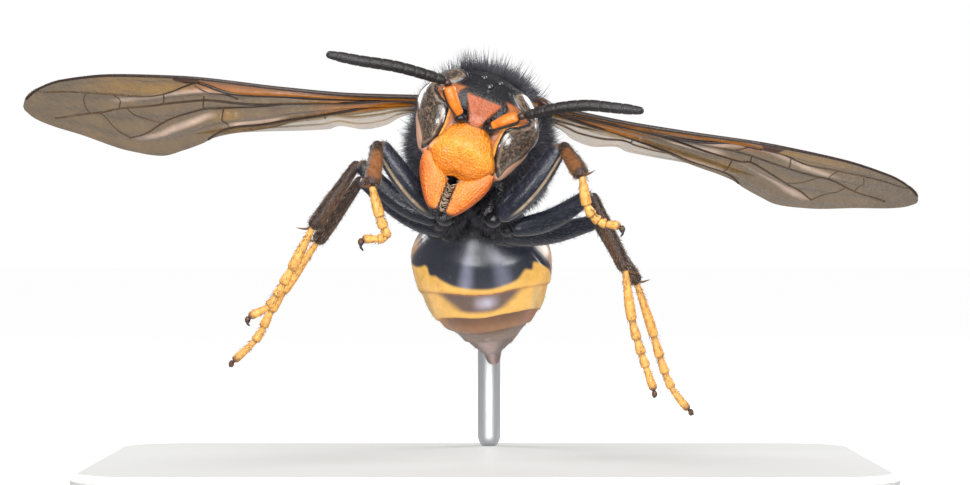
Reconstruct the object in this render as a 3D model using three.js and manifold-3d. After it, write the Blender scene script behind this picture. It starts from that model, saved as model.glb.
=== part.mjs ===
import * as THREE from "three";
import { mergeVertices } from "three/addons/utils/BufferGeometryUtils.js";
import Module from "manifold-3d";

// Asian hornet, a worker, hovering with its legs down, on a plain display stand.
// Millimetres, +Z up. The face looks along -Y, and +X is the insect's own left.
// The origin is the centre of the underside of the stand's base.

const wasm = await Module();
wasm.setup();

// Spaces and common directions
const GAP = 0.25;
const FRONT = new THREE.Vector3(0, -1, 0);
const BODY_ROLL = THREE.MathUtils.degToRad(6);
const BODY_UP = new THREE.Vector3(Math.sin(BODY_ROLL), 0, Math.cos(BODY_ROLL));
const SIDES = { left: 1, right: -1 };

// Display stand
const BASE_LENGTH = 36;
const BASE_DEPTH = 26;
const BASE_HEIGHT = 2;
const BASE_CORNER = 3;
const BASE_BEVEL = 0.3;
const ROD_RADIUS = 0.6;
const ROD_PLACE = [0.2, 10.4];
const ARM_RADIUS = 0.5;
const ARM_HEIGHT = 11.6;
const ARM_OVERHANG = 0.8;
const ARM_REACH = 5;
const ROUND_SIDES = 16;

// Head, in its own frame: width along X, crown along Z, face along -Y
const HEAD_CENTRE = [-0.48, -9.5, 16.98];
const HEAD_ROLL = THREE.MathUtils.degToRad(21.5);
const HEAD_PITCH = THREE.MathUtils.degToRad(-5);
const HEAD_BOTTOM = -2.15;
const HEAD_TOP = 2.5;
const HEAD_SIDES = 24;
const HEAD_RINGS = 12;
const HEAD_SQUARENESS = 2.3;
const EYE_BACK = 0.45;
const EYE_BULGE = 0.06;
const EYE_CUT_FRONT = -3;
const CLYPEUS_TOP = -0.1;
const CLYPEUS_BOTTOM = -2.5;
const MANDIBLE_TOP = -1.95;
const MANDIBLE_TIP = -4.4;

// Antennae
const SCAPE_GIRTH = [[0, 0.2], [0.06, 0.26], [0.5, 0.25], [0.94, 0.3], [1, 0.2]];
const FLAGELLUM_SEGMENTS = 11;
const FLAGELLUM_RADIUS = 0.25;
const FLAGELLUM_NECK = 0.22;
const ANTENNA_SIDES = 6;

// Thorax, from the neck to the waist
const NECK = new THREE.Vector3(-0.4, -7.72, 16.85);
const WAIST = new THREE.Vector3(-0.25, -0.45, 13.2);
const PROPODEUM_START = 0.74;
const THORAX_SIDES = 20;
const THORAX_RINGS = 9;

// Gaster, from the waist to the tip
const GASTER_START = new THREE.Vector3(-0.38, -0.15, 13.05);
const GASTER_TIP = new THREE.Vector3(0.44, 8, 6.1);
const GASTER_CUTS = [0, 0.15, 0.46, 0.64, 0.78, 0.89, 1];
const GASTER_SIDES = 20;
const GASTER_STEP = 0.03;
const GASTER_RINGS = 4;

// Legs: girths as [place, half width], from the root of each length to its end
const COXA_GIRTH = [[0, 0.66], [0.5, 0.64], [0.85, 0.48], [1, 0.3]];
const TROCHANTER_GIRTH = [[0, 0.2], [0.2, 0.34], [0.75, 0.36], [1, 0.24]];
const FEMUR_GIRTH = [[0, 0.26], [0.05, 0.38], [0.3, 0.53], [0.6, 0.5], [0.88, 0.4], [0.97, 0.36], [1, 0.2]];
const TIBIA_GIRTH = [[0, 0.16], [0.05, 0.25], [0.3, 0.3], [0.75, 0.38], [0.95, 0.37], [1, 0.28]];
const LEG_SIDES = 8;
const TARSUS_SIDES = 6;
const TARSUS_HALF = 0.27;
const TARSUS_NECK = 0.2;
const TARSOMERES = [0, 0.36, 0.54, 0.68, 0.8, 1];
const CLAW_LENGTH = 0.62;
const CLAW_RADIUS = 0.13;
const CLAW_SPREAD = 0.16;
const SPUR_RADIUS = 0.12;
const FEMUR_BOW = 0.3;

// Wings: a membrane with its veins raised out of both faces
const FOREWING_SPAN_STEPS = 15;
const HINDWING_SPAN_STEPS = 10;
const WING_THICKNESS = 0.5;
const WING_EDGE_THICKNESS = 0.3;
const VEIN_THICKNESS = 0.72;
const VEIN_FOOT = 0.12;
const VEIN_FOOT_SHARE = 0.06;
const CROSS_VEIN_FOOT = 0.008;
const WING_ROOT_HALF = 0.35;
const WING_CAMBER = 0.25;
const TEGULA_HALF = [0.5, 0.65, 0.38];
const TEGULA_RISE = 0.48;

// A point from three numbers
function at(x, y, z) {
  return new THREE.Vector3(x, y, z);
}

// A smooth value through [place, value] pairs, level where the values turn
function through(pairs) {
  const last = pairs.length - 1;
  const rise = (i) => (pairs[i + 1][1] - pairs[i][1]) / (pairs[i + 1][0] - pairs[i][0]);
  const slopeAt = (i) => {
    if (i === 0) return rise(0);
    if (i === last) return rise(last - 1);
    const before = rise(i - 1);
    const after = rise(i);
    return before * after <= 0 ? 0 : (2 * before * after) / (before + after);
  };
  return (place) => {
    if (place <= pairs[0][0]) return pairs[0][1];
    if (place >= pairs[last][0]) return pairs[last][1];
    let i = 0;
    while (place > pairs[i + 1][0]) i += 1;
    const width = pairs[i + 1][0] - pairs[i][0];
    const t = (place - pairs[i][0]) / width;
    const rest = 1 - t;
    const ends = pairs[i][1] * (1 + 2 * t) * rest * rest + pairs[i + 1][1] * t * t * (3 - 2 * t);
    const bends = slopeAt(i) * t * rest * rest - slopeAt(i + 1) * t * t * rest;
    return ends + bends * width;
  };
}

// A closed geometry from points and faces, turned so that its faces point out
function closed(points, faces) {
  let volume = 0;
  for (let i = 0; i < faces.length; i += 3) {
    const [a, b, c] = [points[faces[i]], points[faces[i + 1]], points[faces[i + 2]]];
    volume += a.dot(at(0, 0, 0).crossVectors(b, c));
  }
  const order = volume < 0 ? faces.slice().reverse() : faces;
  const geometry = new THREE.BufferGeometry();
  geometry.setAttribute("position", new THREE.Float32BufferAttribute(points.flatMap((p) => p.toArray()), 3));
  geometry.setIndex(order);
  return geometry;
}

// A closed body through rings with as many points each, closed flat at both ends
function skin(rings) {
  const sides = rings[0].length;
  const points = rings.flat();
  const faces = [];
  for (let ring = 0; ring + 1 < rings.length; ring += 1) {
    for (let side = 0; side < sides; side += 1) {
      const a = ring * sides + side;
      const b = ring * sides + ((side + 1) % sides);
      faces.push(a, b, b + sides, a, b + sides, a + sides);
    }
  }
  for (const [first, flip] of [[0, true], [(rings.length - 1) * sides, false]]) {
    const centre = points.length;
    const rim = points.slice(first, first + sides);
    points.push(rim.reduce((sum, p) => sum.add(p), at(0, 0, 0)).divideScalar(sides));
    for (let side = 0; side < sides; side += 1) {
      const a = first + side;
      const b = first + ((side + 1) % sides);
      faces.push(centre, flip ? b : a, flip ? a : b);
    }
  }
  return closed(points, faces);
}

// A ring of points round a centre, with its own half width, rise and drop
function ring(centre, side, up, half, rise, drop, sides, squareness = 2) {
  const bend = (value) => Math.sign(value) * Math.abs(value) ** (2 / squareness);
  return Array.from({ length: sides }, (_, i) => {
    const turn = (2 * Math.PI * i) / sides;
    const height = bend(Math.sin(turn));
    return centre.clone()
      .addScaledVector(side, half * bend(Math.cos(turn)))
      .addScaledVector(up, height * (height > 0 ? rise : drop));
  });
}

// Joining and cutting of closed bodies
function toSolid(geometry) {
  const bare = new THREE.BufferGeometry();
  bare.setAttribute("position", geometry.getAttribute("position"));
  bare.setIndex(geometry.getIndex());
  const merged = mergeVertices(bare, 1e-5);
  return new wasm.Manifold(new wasm.Mesh({
    numProp: 3,
    vertProperties: new Float32Array(merged.getAttribute("position").array),
    triVerts: new Uint32Array(merged.getIndex().array),
  }));
}

function toGeometry(solid) {
  const largest = solid.decompose().reduce((best, piece) => (piece.volume() > best.volume() ? piece : best));
  const mesh = largest.getMesh();
  const geometry = new THREE.BufferGeometry();
  geometry.setAttribute("position", new THREE.Float32BufferAttribute(Array.from(mesh.vertProperties), 3));
  geometry.setIndex(Array.from(mesh.triVerts));
  return geometry;
}

function carve(geometry, ...cutters) {
  return toGeometry(cutters.reduce((solid, cutter) => solid.subtract(toSolid(cutter)), toSolid(geometry)));
}

function join(geometry, ...others) {
  return toGeometry(others.reduce((solid, other) => solid.add(toSolid(other)), toSolid(geometry)));
}

// A straight form from one point to another, with smooth half width, rise and drop along it
function form({ from, to, half, rise, drop, sides }) {
  const axis = to.clone().sub(from).normalize();
  const side = at(0, 0, 0).crossVectors(axis, BODY_UP).normalize();
  const up = at(0, 0, 0).crossVectors(side, axis);
  const [halfAt, riseAt, dropAt] = [through(half), through(rise), through(drop)];
  const length = from.distanceTo(to);
  const ringAt = (along, grow = 0, swell = 1) => ring(
    from.clone().lerp(to, along),
    side,
    up,
    halfAt(along) * swell + grow,
    riseAt(along) * swell + grow,
    dropAt(along) * swell + grow,
    sides,
  );
  return { ringAt, length };
}

// The stretch of a form between two places, its rings set closer where it turns in
function stretch(body, start, end, rings, grow = 0, swell = () => 1) {
  const step = (i) => start + ((end - start) * i) / (rings - 1);
  return skin(Array.from({ length: rings }, (_, i) => body.ringAt(step(i), grow, swell(i / (rings - 1)))));
}

// A limb swept along a smooth line, its girth as [place, half width, half depth]
function limb(line, girth, sides, grow = 0) {
  const curve = new THREE.CatmullRomCurve3(line, false, "centripetal");
  const last = girth.length - 1;
  return skin(girth.map(([place, half, deep = half], i) => {
    const tangent = curve.getTangentAt(place);
    const side = at(0, 0, 0).crossVectors(tangent, FRONT).normalize();
    const depth = at(0, 0, 0).crossVectors(side, tangent);
    const ends = (i === last ? grow : 0) - (i === 0 ? grow : 0);
    const centre = curve.getPointAt(place).addScaledVector(tangent, ends);
    return ring(centre, side, depth, half + grow, deep + grow, deep + grow, sides);
  }));
}

// A named mesh with its colour, roughness and metalness
function piece(name, geometry, color, roughness = 0.5, metalness = 0) {
  const material = new THREE.MeshStandardMaterial({ color, roughness, metalness });
  const mesh = new THREE.Mesh(geometry, material);
  mesh.name = name;
  return mesh;
}

const BLACK = 0x17161a;
const DARK_BROWN = 0x2c1c14;
const RUST = 0xa8501c;
const ORANGE = 0xe08a1e;
const YELLOW = 0xe0a02c;
const SMOKE = 0x6b4a2a;
const STAND_WHITE = 0xe8e8e6;
const STEEL = 0xb8bcc0;

// The form of the head, from the mouth up to the crown
const headHalf = through([
  [HEAD_BOTTOM, 1.2], [-2, 1.6], [-1.6, 2], [-0.9, 2.35], [-0.4, 2.55],
  [0.5, 2.65], [1.2, 2.42], [2.1, 1.7], [HEAD_TOP, 0.6],
]);
const headFront = through([
  [HEAD_BOTTOM, 0.5], [-1.2, 1.15], [0, 1.45], [1, 1.35], [2, 0.85], [HEAD_TOP, 0.25],
]);
const headBack = through([[HEAD_BOTTOM, 0.4], [-1, 1.1], [0, 1.3], [1.2, 1.2], [2, 0.85], [HEAD_TOP, 0.25]]);

function headForm(grow = 0) {
  const spread = (i) => (1 - Math.cos((Math.PI * i) / (HEAD_RINGS - 1))) / 2;
  return skin(Array.from({ length: HEAD_RINGS }, (_, i) => {
    const height = HEAD_BOTTOM - grow + (HEAD_TOP - HEAD_BOTTOM + 2 * grow) * spread(i);
    return ring(
      at(0, 0, height),
      at(1, 0, 0),
      FRONT,
      headHalf(height) + grow,
      headFront(height) + grow,
      headBack(height) + grow,
      HEAD_SIDES,
      HEAD_SQUARENESS,
    );
  }));
}

// The eye's outline on the face: a tall lower lobe, the notch, and a short upper lobe
const EYE_OUTLINE = [
  [3.2, -1.75], [1.75, -1.7], [1.36, -1.3], [1.24, -0.5], [1.3, 0.3], [1.56, 0.72],
  [1.88, 0.88], [1.8, 1.12], [1.42, 1.35], [1.12, 1.65], [1.05, 1.9], [1.35, 2.15], [3.2, 2.3],
];

// A clockwise outline moved out by a distance, or in where it is negative
function offset(outline, distance) {
  return outline.map(([x, y], i) => {
    const before = outline[(i + outline.length - 1) % outline.length];
    const after = outline[(i + 1) % outline.length];
    const inward = at(x - before[0], y - before[1], 0).normalize();
    const onward = at(after[0] - x, after[1] - y, 0).normalize();
    const bisector = inward.add(onward).normalize();
    return [x - bisector.y * distance, y + bisector.x * distance];
  });
}

// A block behind an outline on the face, from front to back
function faceBlock(outline, side, front, back) {
  const shape = new THREE.Shape(outline.map(([x, z]) => new THREE.Vector2(side * x, z)));
  const block = new THREE.ExtrudeGeometry(shape, { depth: back - front, bevelEnabled: false });
  block.rotateX(Math.PI / 2);
  block.translate(0, back, 0);
  return block;
}

function eye(side) {
  const socket = faceBlock(offset(EYE_OUTLINE, -GAP / 2), side, EYE_CUT_FRONT, EYE_BACK - GAP / 2);
  return toGeometry(toSolid(headForm(EYE_BULGE)).intersect(toSolid(socket)).subtract(toSolid(clypeus(GAP))));
}

function eyeCut(side) {
  return faceBlock(offset(EYE_OUTLINE, GAP / 2), side, EYE_CUT_FRONT, EYE_BACK + GAP / 2);
}

// The clypeus, a domed plate between the eyes and over the mouth
const clypeusHalf = through([
  [CLYPEUS_BOTTOM, 0.72], [-2, 1.3], [-1.6, 1.55], [-0.9, 1.25], [-0.4, 0.92], [CLYPEUS_TOP, 0.6],
]);
const clypeusFront = through([[CLYPEUS_BOTTOM, 1.25], [-2, 1.6], [-1, 1.78], [CLYPEUS_TOP, 1.6]]);
const CLYPEUS_BACK = 0.85;
const CLYPEUS_RINGS = 7;
const CLYPEUS_SIDES = 14;

function clypeus(grow = 0) {
  return skin(Array.from({ length: CLYPEUS_RINGS }, (_, i) => {
    const bottom = CLYPEUS_BOTTOM - grow;
    const height = bottom + ((CLYPEUS_TOP + grow - bottom) * i) / (CLYPEUS_RINGS - 1);
    const front = clypeusFront(height);
    const middle = (front + CLYPEUS_BACK) / 2;
    const deep = (front - CLYPEUS_BACK) / 2 + grow;
    const half = clypeusHalf(height) + grow;
    return ring(at(0, -middle, height), at(1, 0, 0), FRONT, half, deep, deep, CLYPEUS_SIDES, 3);
  }));
}

// A mandible hangs from the cheek, and its cutting edge runs down the midline
const mandibleInner = through([[MANDIBLE_TIP, 0.14], [-2.8, 0.14], [-2.4, 0.4], [MANDIBLE_TOP, 1.1]]);
const mandibleOuter = through([
  [MANDIBLE_TIP, 0.24], [-4.15, 0.45], [-3.7, 0.88], [-3.2, 1.22],
  [-2.7, 1.48], [-2.3, 1.62], [MANDIBLE_TOP, 1.66],
]);
const mandibleThickness = through([[MANDIBLE_TIP, 0.16], [-4, 0.45], [-3.2, 0.75], [MANDIBLE_TOP, 0.8]]);
const MANDIBLE_MIDDLE = 0.85;
const MANDIBLE_RINGS = 8;
const MANDIBLE_SIDES = 10;

function mandible(side) {
  const blade = skin(Array.from({ length: MANDIBLE_RINGS }, (_, i) => {
    const height = MANDIBLE_TIP + ((MANDIBLE_TOP - MANDIBLE_TIP) * i) / (MANDIBLE_RINGS - 1);
    const [inner, outer] = [mandibleInner(height), mandibleOuter(height)];
    const deep = mandibleThickness(height) / 2;
    const centre = at((side * (inner + outer)) / 2, -MANDIBLE_MIDDLE, height);
    return ring(centre, at(1, 0, 0), FRONT, (outer - inner) / 2, deep, deep, MANDIBLE_SIDES);
  }));
  return carve(blade, headForm(GAP), clypeus(GAP));
}

function head() {
  const group = new THREE.Group();
  group.position.set(...HEAD_CENTRE);
  group.rotation.set(HEAD_PITCH, HEAD_ROLL, 0, "YXZ");
  const skull = carve(headForm(), clypeus(GAP), eyeCut(SIDES.left), eyeCut(SIDES.right));
  group.add(piece("head", skull, BLACK, 0.35));
  group.add(piece("clypeus", clypeus(), ORANGE, 0.45));
  for (const [name, side] of Object.entries(SIDES)) {
    group.add(piece(`${name}_eye`, eye(side), DARK_BROWN, 0.25));
    group.add(piece(`${name}_mandible`, mandible(side), ORANGE, 0.4));
  }
  return group;
}

// Antennae: the scape from its socket to the elbow, and the flagellum on to the tip
const ANTENNAE = {
  right: {
    scape: [[-1.05, -11.35, 17.42], [-1.4, -11.55, 18.1], [-1.6, -11.6, 18.78]],
    flagellum: [[-1.72, -11.65, 19.14], [-3.7, -12, 19.5], [-5.4, -12, 19.78], [-6.8, -12, 20.06]],
  },
  left: {
    scape: [[0.24, -11.35, 16.95], [0.9, -11.55, 17.2], [1.5, -11.6, 17.4]],
    flagellum: [
      [1.85, -11.65, 17.46], [3.2, -12, 17.76], [4.4, -12, 17.86], [5.5, -12, 17.76], [6.8, -12, 17.62],
    ],
  },
};

function flagellumGirth() {
  const girth = [[0, FLAGELLUM_NECK / 2]];
  for (let i = 0; i < FLAGELLUM_SEGMENTS; i += 1) {
    const [start, end] = [i / FLAGELLUM_SEGMENTS, (i + 1) / FLAGELLUM_SEGMENTS];
    const taper = 1 - 0.25 * (i / FLAGELLUM_SEGMENTS) ** 3;
    girth.push([start + 0.012, FLAGELLUM_NECK * taper], [end - 0.012, FLAGELLUM_RADIUS * taper]);
  }
  girth.push([1, FLAGELLUM_NECK / 2]);
  return girth;
}

function antenna(name) {
  const { scape, flagellum } = ANTENNAE[name];
  const scapeLine = scape.map((point) => at(...point));
  const tipLine = flagellum.map((point) => at(...point));
  const elbow = limb(scapeLine, SCAPE_GIRTH, ANTENNA_SIDES, GAP);
  const tip = carve(limb(tipLine, flagellumGirth(), ANTENNA_SIDES), elbow);
  return [
    piece(`${name}_scape`, limb(scapeLine, SCAPE_GIRTH, ANTENNA_SIDES), RUST, 0.4),
    piece(`${name}_flagellum`, tip, DARK_BROWN, 0.5),
  ];
}

// Thorax and propodeum are two stretches of one form, out to the tips of the short coat
const thoraxForm = form({
  from: NECK,
  to: WAIST,
  half: [
    [0, 0.9], [0.08, 1.9], [0.2, 2.85], [0.35, 3.3], [0.5, 3.3],
    [0.65, 2.95], [0.8, 2.1], [0.92, 1.1], [1, 0.5],
  ],
  rise: [
    [0, 1.2], [0.08, 2.4], [0.2, 4], [0.35, 5], [0.5, 5.2], [0.65, 4.5], [0.8, 3.1], [0.92, 1.4], [1, 0.5],
  ],
  drop: [
    [0, 0.8], [0.08, 1.2], [0.2, 1.6], [0.35, 1.8], [0.5, 1.8],
    [0.65, 1.5], [0.8, 1.1], [0.92, 0.75], [1, 0.45],
  ],
  sides: THORAX_SIDES,
});

function thorax() {
  const half = GAP / 2 / thoraxForm.length;
  return [
    piece("thorax", stretch(thoraxForm, 0, PROPODEUM_START - half, THORAX_RINGS), BLACK, 0.6),
    piece("propodeum", stretch(thoraxForm, PROPODEUM_START + half, 1, 4), BLACK, 0.6),
  ];
}

const wholeThorax = stretch(thoraxForm, 0, 1, THORAX_RINGS + 3, GAP);

// Gaster: six lapped rings of one form, each a little wider at its rear edge
const gasterForm = form({
  from: GASTER_START,
  to: GASTER_TIP,
  half: [
    [0, 0.45], [0.06, 1.3], [0.14, 2.6], [0.26, 3.3], [0.45, 3.05],
    [0.65, 1.95], [0.78, 1.2], [0.9, 0.52], [1, 0.15],
  ],
  rise: [
    [0, 0.45], [0.06, 1.3], [0.14, 2.5], [0.26, 3], [0.45, 2.9],
    [0.65, 2.1], [0.78, 1.4], [0.9, 0.6], [1, 0.15],
  ],
  drop: [
    [0, 0.4], [0.06, 0.9], [0.14, 1.8], [0.26, 2.5], [0.45, 2.8],
    [0.65, 1.75], [0.78, 1.2], [0.9, 0.5], [1, 0.15],
  ],
  sides: GASTER_SIDES,
});

function gaster() {
  const half = GAP / 2 / gasterForm.length;
  const colors = [BLACK, BLACK, YELLOW, YELLOW, RUST, DARK_BROWN];
  return colors.map((color, i) => {
    const start = GASTER_CUTS[i] + (i === 0 ? 0 : half);
    const end = GASTER_CUTS[i + 1] - (i === colors.length - 1 ? 0 : half);
    const lap = (t) => 1 + (i === colors.length - 1 ? 0 : GASTER_STEP * (t - 0.5));
    return piece(`gaster_${i + 1}`, stretch(gasterForm, start, end, GASTER_RINGS, 0, lap), color, 0.35);
  });
}

// Legs, from the insect's own side and place: hip inside the thorax, coxa end, trochanter end,
// knee, ankle, end of the first tarsal joint, bend of the toe joints, toe end, and the way the claws point
const LEGS = {
  right_fore: {
    hip: [-1.45, -6.9, 14.9], coxa: [-1.45, -8.2, 12.9], trochanter: [-2.05, -8.6, 13.25],
    knee: [-4.65, -9.6, 16.35], ankle: [-4.9, -11.2, 14.4],
    tarsus: [[-4.5, -10.9, 13], [-4.3, -10.7, 12.25], [-5.3, -10.9, 12.15]],
    claws: [-0.1, -0.1, -1], bulk: 1,
  },
  left_fore: {
    hip: [0.35, -6.9, 14.8], coxa: [0.05, -8.2, 12.9], trochanter: [0.65, -8.6, 13.1],
    knee: [3.35, -9.6, 16.25], ankle: [4.2, -11.4, 14.85],
    tarsus: [[4.45, -11.1, 13.45], [4.95, -10.9, 12.9], [5.85, -11, 12.7]], claws: [0.2, -0.1, -1], bulk: 1,
  },
  right_mid: {
    hip: [-1.6, -4.9, 14.3], coxa: [-1.65, -5.3, 12.65], trochanter: [-2.2, -5.2, 13],
    knee: [-5.7, -4.6, 15.6], ankle: [-7.8, -4.4, 12.6],
    tarsus: [[-8.95, -4.2, 10.4], [-9.75, -4.1, 9.15], [-10.65, -4.1, 8.65]],
    claws: [-0.1, 0, -1], bulk: 0.9,
  },
  left_mid: {
    hip: [0.6, -4.9, 14.2], coxa: [0.67, -5.3, 12.5], trochanter: [1.2, -5.1, 12.6],
    knee: [4.85, -3.2, 14.2], ankle: [6.4, -3, 10.7],
    tarsus: [[6.7, -2.8, 8.4], [7.4, -2.6, 6.1], [7.7, -2.6, 5.25]], claws: [0, 0, -1], bulk: 0.9,
  },
  right_hind: {
    hip: [-1.4, -2.7, 13.8], coxa: [-1.4, -2.9, 12.2], trochanter: [-1.9, -2.5, 12.5],
    knee: [-5.7, -0.5, 14.95], ankle: [-7.9, 2.4, 12],
    tarsus: [[-10.1, 2.8, 8.7], [-10.7, 2.9, 7.55], [-11.85, 2.9, 6.4]], claws: [-0.6, 0, -0.8], bulk: 0.95,
  },
  left_hind: {
    hip: [0.4, -2.7, 13.7], coxa: [0.35, -2.9, 12.15], trochanter: [0.85, -2.5, 12.3],
    knee: [5.15, -0.4, 12.95], ankle: [7.15, 2.6, 10.1],
    tarsus: [[7.7, 2.8, 8.4], [8.75, 3, 5.25], [9.6, 3, 4.1]], claws: [0.75, 0, -0.65], bulk: 0.95,
  },
};

function scaled(girth, bulk) {
  return girth.map(([place, half]) => [place, half * bulk]);
}

function tarsusGirth() {
  const girth = [[0, TARSUS_NECK]];
  for (let i = 0; i + 1 < TARSOMERES.length; i += 1) {
    const [start, end] = [TARSOMERES[i], TARSOMERES[i + 1]];
    const width = end - start;
    girth.push([start + 0.15 * width, TARSUS_NECK], [start + 0.85 * width, TARSUS_HALF]);
  }
  girth.push([1, TARSUS_NECK / 2]);
  return girth;
}

// A short curved spine from a point, along a way, bending towards another
function thorn(root, way, bend, length, radius) {
  const middle = root.clone().addScaledVector(way, length * 0.55).addScaledVector(bend, -length * 0.08);
  const tip = root.clone().addScaledVector(way, length * 0.92).addScaledVector(bend, length * 0.25);
  return limb([root, middle, tip], [[0, radius], [0.55, radius * 0.8], [1, radius * 0.25]], 5);
}

function leg(name) {
  const pose = LEGS[name];
  const joints = [pose.hip, pose.coxa, pose.trochanter, pose.knee, pose.ankle];
  const [hip, coxaEnd, trochanterEnd, knee, ankle] = joints.map((point) => at(...point));
  const toes = [ankle, ...pose.tarsus.map((point) => at(...point))];
  const shin = ankle.clone().sub(knee).normalize();
  const thigh = knee.clone().sub(trochanterEnd).normalize();
  const outward = thigh.clone().addScaledVector(shin, -thigh.dot(shin)).normalize();
  const bulge = trochanterEnd.clone().lerp(knee, 0.45).addScaledVector(shin, FEMUR_BOW);

  const femurLine = [trochanterEnd, bulge, knee];
  const shinLine = [knee, ankle];
  const femurGirth = scaled(FEMUR_GIRTH, pose.bulk);
  const tibiaGirth = scaled(TIBIA_GIRTH, pose.bulk);
  const hipPieces = (grow) => [
    limb([hip, coxaEnd], scaled(COXA_GIRTH, pose.bulk), LEG_SIDES, grow),
    limb([coxaEnd, trochanterEnd], scaled(TROCHANTER_GIRTH, pose.bulk), LEG_SIDES, grow),
  ];

  const coxa = carve(join(...hipPieces(0)), wholeThorax);
  const femur = carve(limb(femurLine, femurGirth, LEG_SIDES), ...hipPieces(GAP), wholeThorax);
  const spurRoot = ankle.clone().addScaledVector(shin, -0.3);
  const spurWay = shin.clone().addScaledVector(outward, 0.5).normalize();
  const spur = thorn(spurRoot, spurWay, outward, 0.9, SPUR_RADIUS);
  const tibia = carve(
    join(limb(shinLine, tibiaGirth, LEG_SIDES), spur),
    limb(femurLine, femurGirth, LEG_SIDES, GAP),
  );

  const toeEnd = toes[toes.length - 1];
  const down = at(...pose.claws).normalize();
  const toeWay = toeEnd.clone().sub(toes[toes.length - 2]).normalize();
  const clawWay = down.clone().addScaledVector(toeWay, 0.3).normalize();
  const claws = [-1, 1].map((turn) => {
    const root = toeEnd.clone().addScaledVector(toeWay, -0.12);
    const way = clawWay.clone().addScaledVector(FRONT, turn * CLAW_SPREAD).normalize();
    return thorn(root, way, toeWay.clone().negate(), CLAW_LENGTH, CLAW_RADIUS);
  });
  const tarsus = carve(
    join(limb(toes, tarsusGirth(), TARSUS_SIDES), ...claws),
    limb(shinLine, tibiaGirth, LEG_SIDES, GAP),
    thorn(spurRoot, spurWay, outward, 0.9 + GAP, SPUR_RADIUS + GAP),
  );
  return [
    piece(`${name}_coxa`, coxa, BLACK, 0.5),
    piece(`${name}_femur`, femur, BLACK, 0.45),
    piece(`${name}_tibia`, tibia, DARK_BROWN, 0.45),
    piece(`${name}_tarsus`, tarsus, YELLOW, 0.45),
  ];
}

// Wings as they lie flat: the chord of the leading and the trailing edge against the span, forward of
// the line from root to tip. Long veins are shares of the chord, from the leading edge, with the span
// that each one starts and ends at. A cross vein runs behind the long vein of its number.
const FOREWING = {
  lead: through([
    [0, WING_ROOT_HALF], [0.18, 0.5], [0.33, 0.93], [0.59, 1.81],
    [0.76, 2], [0.88, 1.71], [0.96, 1], [1, 0.15],
  ]),
  trail: through([
    [0, -WING_ROOT_HALF], [0.18, -0.8], [0.33, -1.4], [0.47, -2.17], [0.6, -3.1],
    [0.68, -3.25], [0.77, -2.9], [0.88, -1.76], [0.95, -1], [1, -0.15],
  ]),
  veins: [
    {
      share: through([[0, 0.36], [0.27, 0.38], [0.42, 0.32], [0.55, 0.2], [0.67, 0.26], [0.92, 0.24]]),
      from: 0, to: 0.93,
    },
    {
      share: through([[0, 0.58], [0.26, 0.55], [0.46, 0.46], [0.67, 0.43], [0.81, 0.52], [1, 0.66]]),
      from: 0, to: 0.96,
    },
    {
      share: through([[0, 0.78], [0.3, 0.72], [0.52, 0.68], [0.63, 0.66], [0.75, 0.8], [1, 0.84]]),
      from: 0.27, to: 0.78,
    },
  ],
  crossVeins: [
    [0.27, 1], [0.505, 2], [0.53, 1], [0.56, 0], [0.75, 0], [0.775, 1], [0.84, 0], [0.91, 0],
  ],
  spanSteps: FOREWING_SPAN_STEPS,
};
const HINDWING = {
  lead: through([[0, WING_ROOT_HALF], [0.3, 0.5], [0.6, 0.55], [0.85, 0.4], [1, 0.1]]),
  trail: through([
    [0, -WING_ROOT_HALF], [0.12, -1.2], [0.3, -2.3], [0.5, -2.6], [0.7, -2.2], [0.88, -1.2], [1, -0.1],
  ]),
  veins: [
    { share: through([[0, 0.4], [0.3, 0.3], [0.6, 0.32], [1, 0.4]]), from: 0, to: 0.9 },
    { share: through([[0, 0.7], [0.3, 0.6], [0.6, 0.66], [1, 0.7]]), from: 0, to: 0.75 },
  ],
  crossVeins: [[0.42, 0]],
  spanSteps: HINDWING_SPAN_STEPS,
};

// How the wings are held: root, tip, the way of the chord from leading to trailing edge, and how far
// the root is twisted down from it, in degrees
const WINGS = {
  right: {
    forewing: { root: [-2.7, -5, 18.55], tip: [-21.25, -0.5, 18.2], chord: [0, 0.73, -0.68], twist: 0 },
    hindwing: { root: [-3, -3.9, 17.7], tip: [-13.4, 0.6, 16.95], chord: [0, 1, -0.08], twist: 34 },
  },
  left: {
    forewing: { root: [2.8, -5, 17.95], tip: [19.9, -0.5, 13.85], chord: [0, 0.88, -0.47], twist: 0 },
    hindwing: { root: [2.7, -3.8, 17.3], tip: [12.5, 0.9, 14.8], chord: [0, 1, -0.08], twist: 34 },
  },
};

// Where the grid's lines lie along the span: even steps, and three close lines at each cross vein
function spanLines({ crossVeins, spanSteps }) {
  const foot = CROSS_VEIN_FOOT;
  const crossings = crossVeins.flatMap(([place]) => [place - foot, place, place + foot]);
  const even = Array.from({ length: spanSteps + 1 }, (_, i) => i / spanSteps);
  const clear = even.filter((place) => crossings.every((other) => Math.abs(place - other) > 2 * foot));
  return [...clear, ...crossings].sort((a, b) => a - b);
}

// The points across the chord at one place along the span, as [share of the chord, thickness]
function chordLines({ veins, crossVeins }, along, chord) {
  const foot = Math.min(VEIN_FOOT / chord, VEIN_FOOT_SHARE);
  const lines = [[0, WING_EDGE_THICKNESS], [foot, VEIN_THICKNESS], [2 * foot, WING_THICKNESS]];
  const here = crossVeins.filter(([place]) => place === along).map(([, behind]) => behind);
  const crossed = (vein) => here.includes(vein);
  veins.forEach(({ share, from, to }, i) => {
    const middle = share(along);
    const crest = along >= from && along <= to ? VEIN_THICKNESS : WING_THICKNESS;
    lines.push([middle - foot, crossed(i - 1) ? VEIN_THICKNESS : WING_THICKNESS]);
    lines.push([middle, crest]);
    lines.push([middle + foot, crossed(i) ? VEIN_THICKNESS : WING_THICKNESS]);
  });
  lines.push([1, WING_EDGE_THICKNESS]);
  return lines;
}

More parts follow.
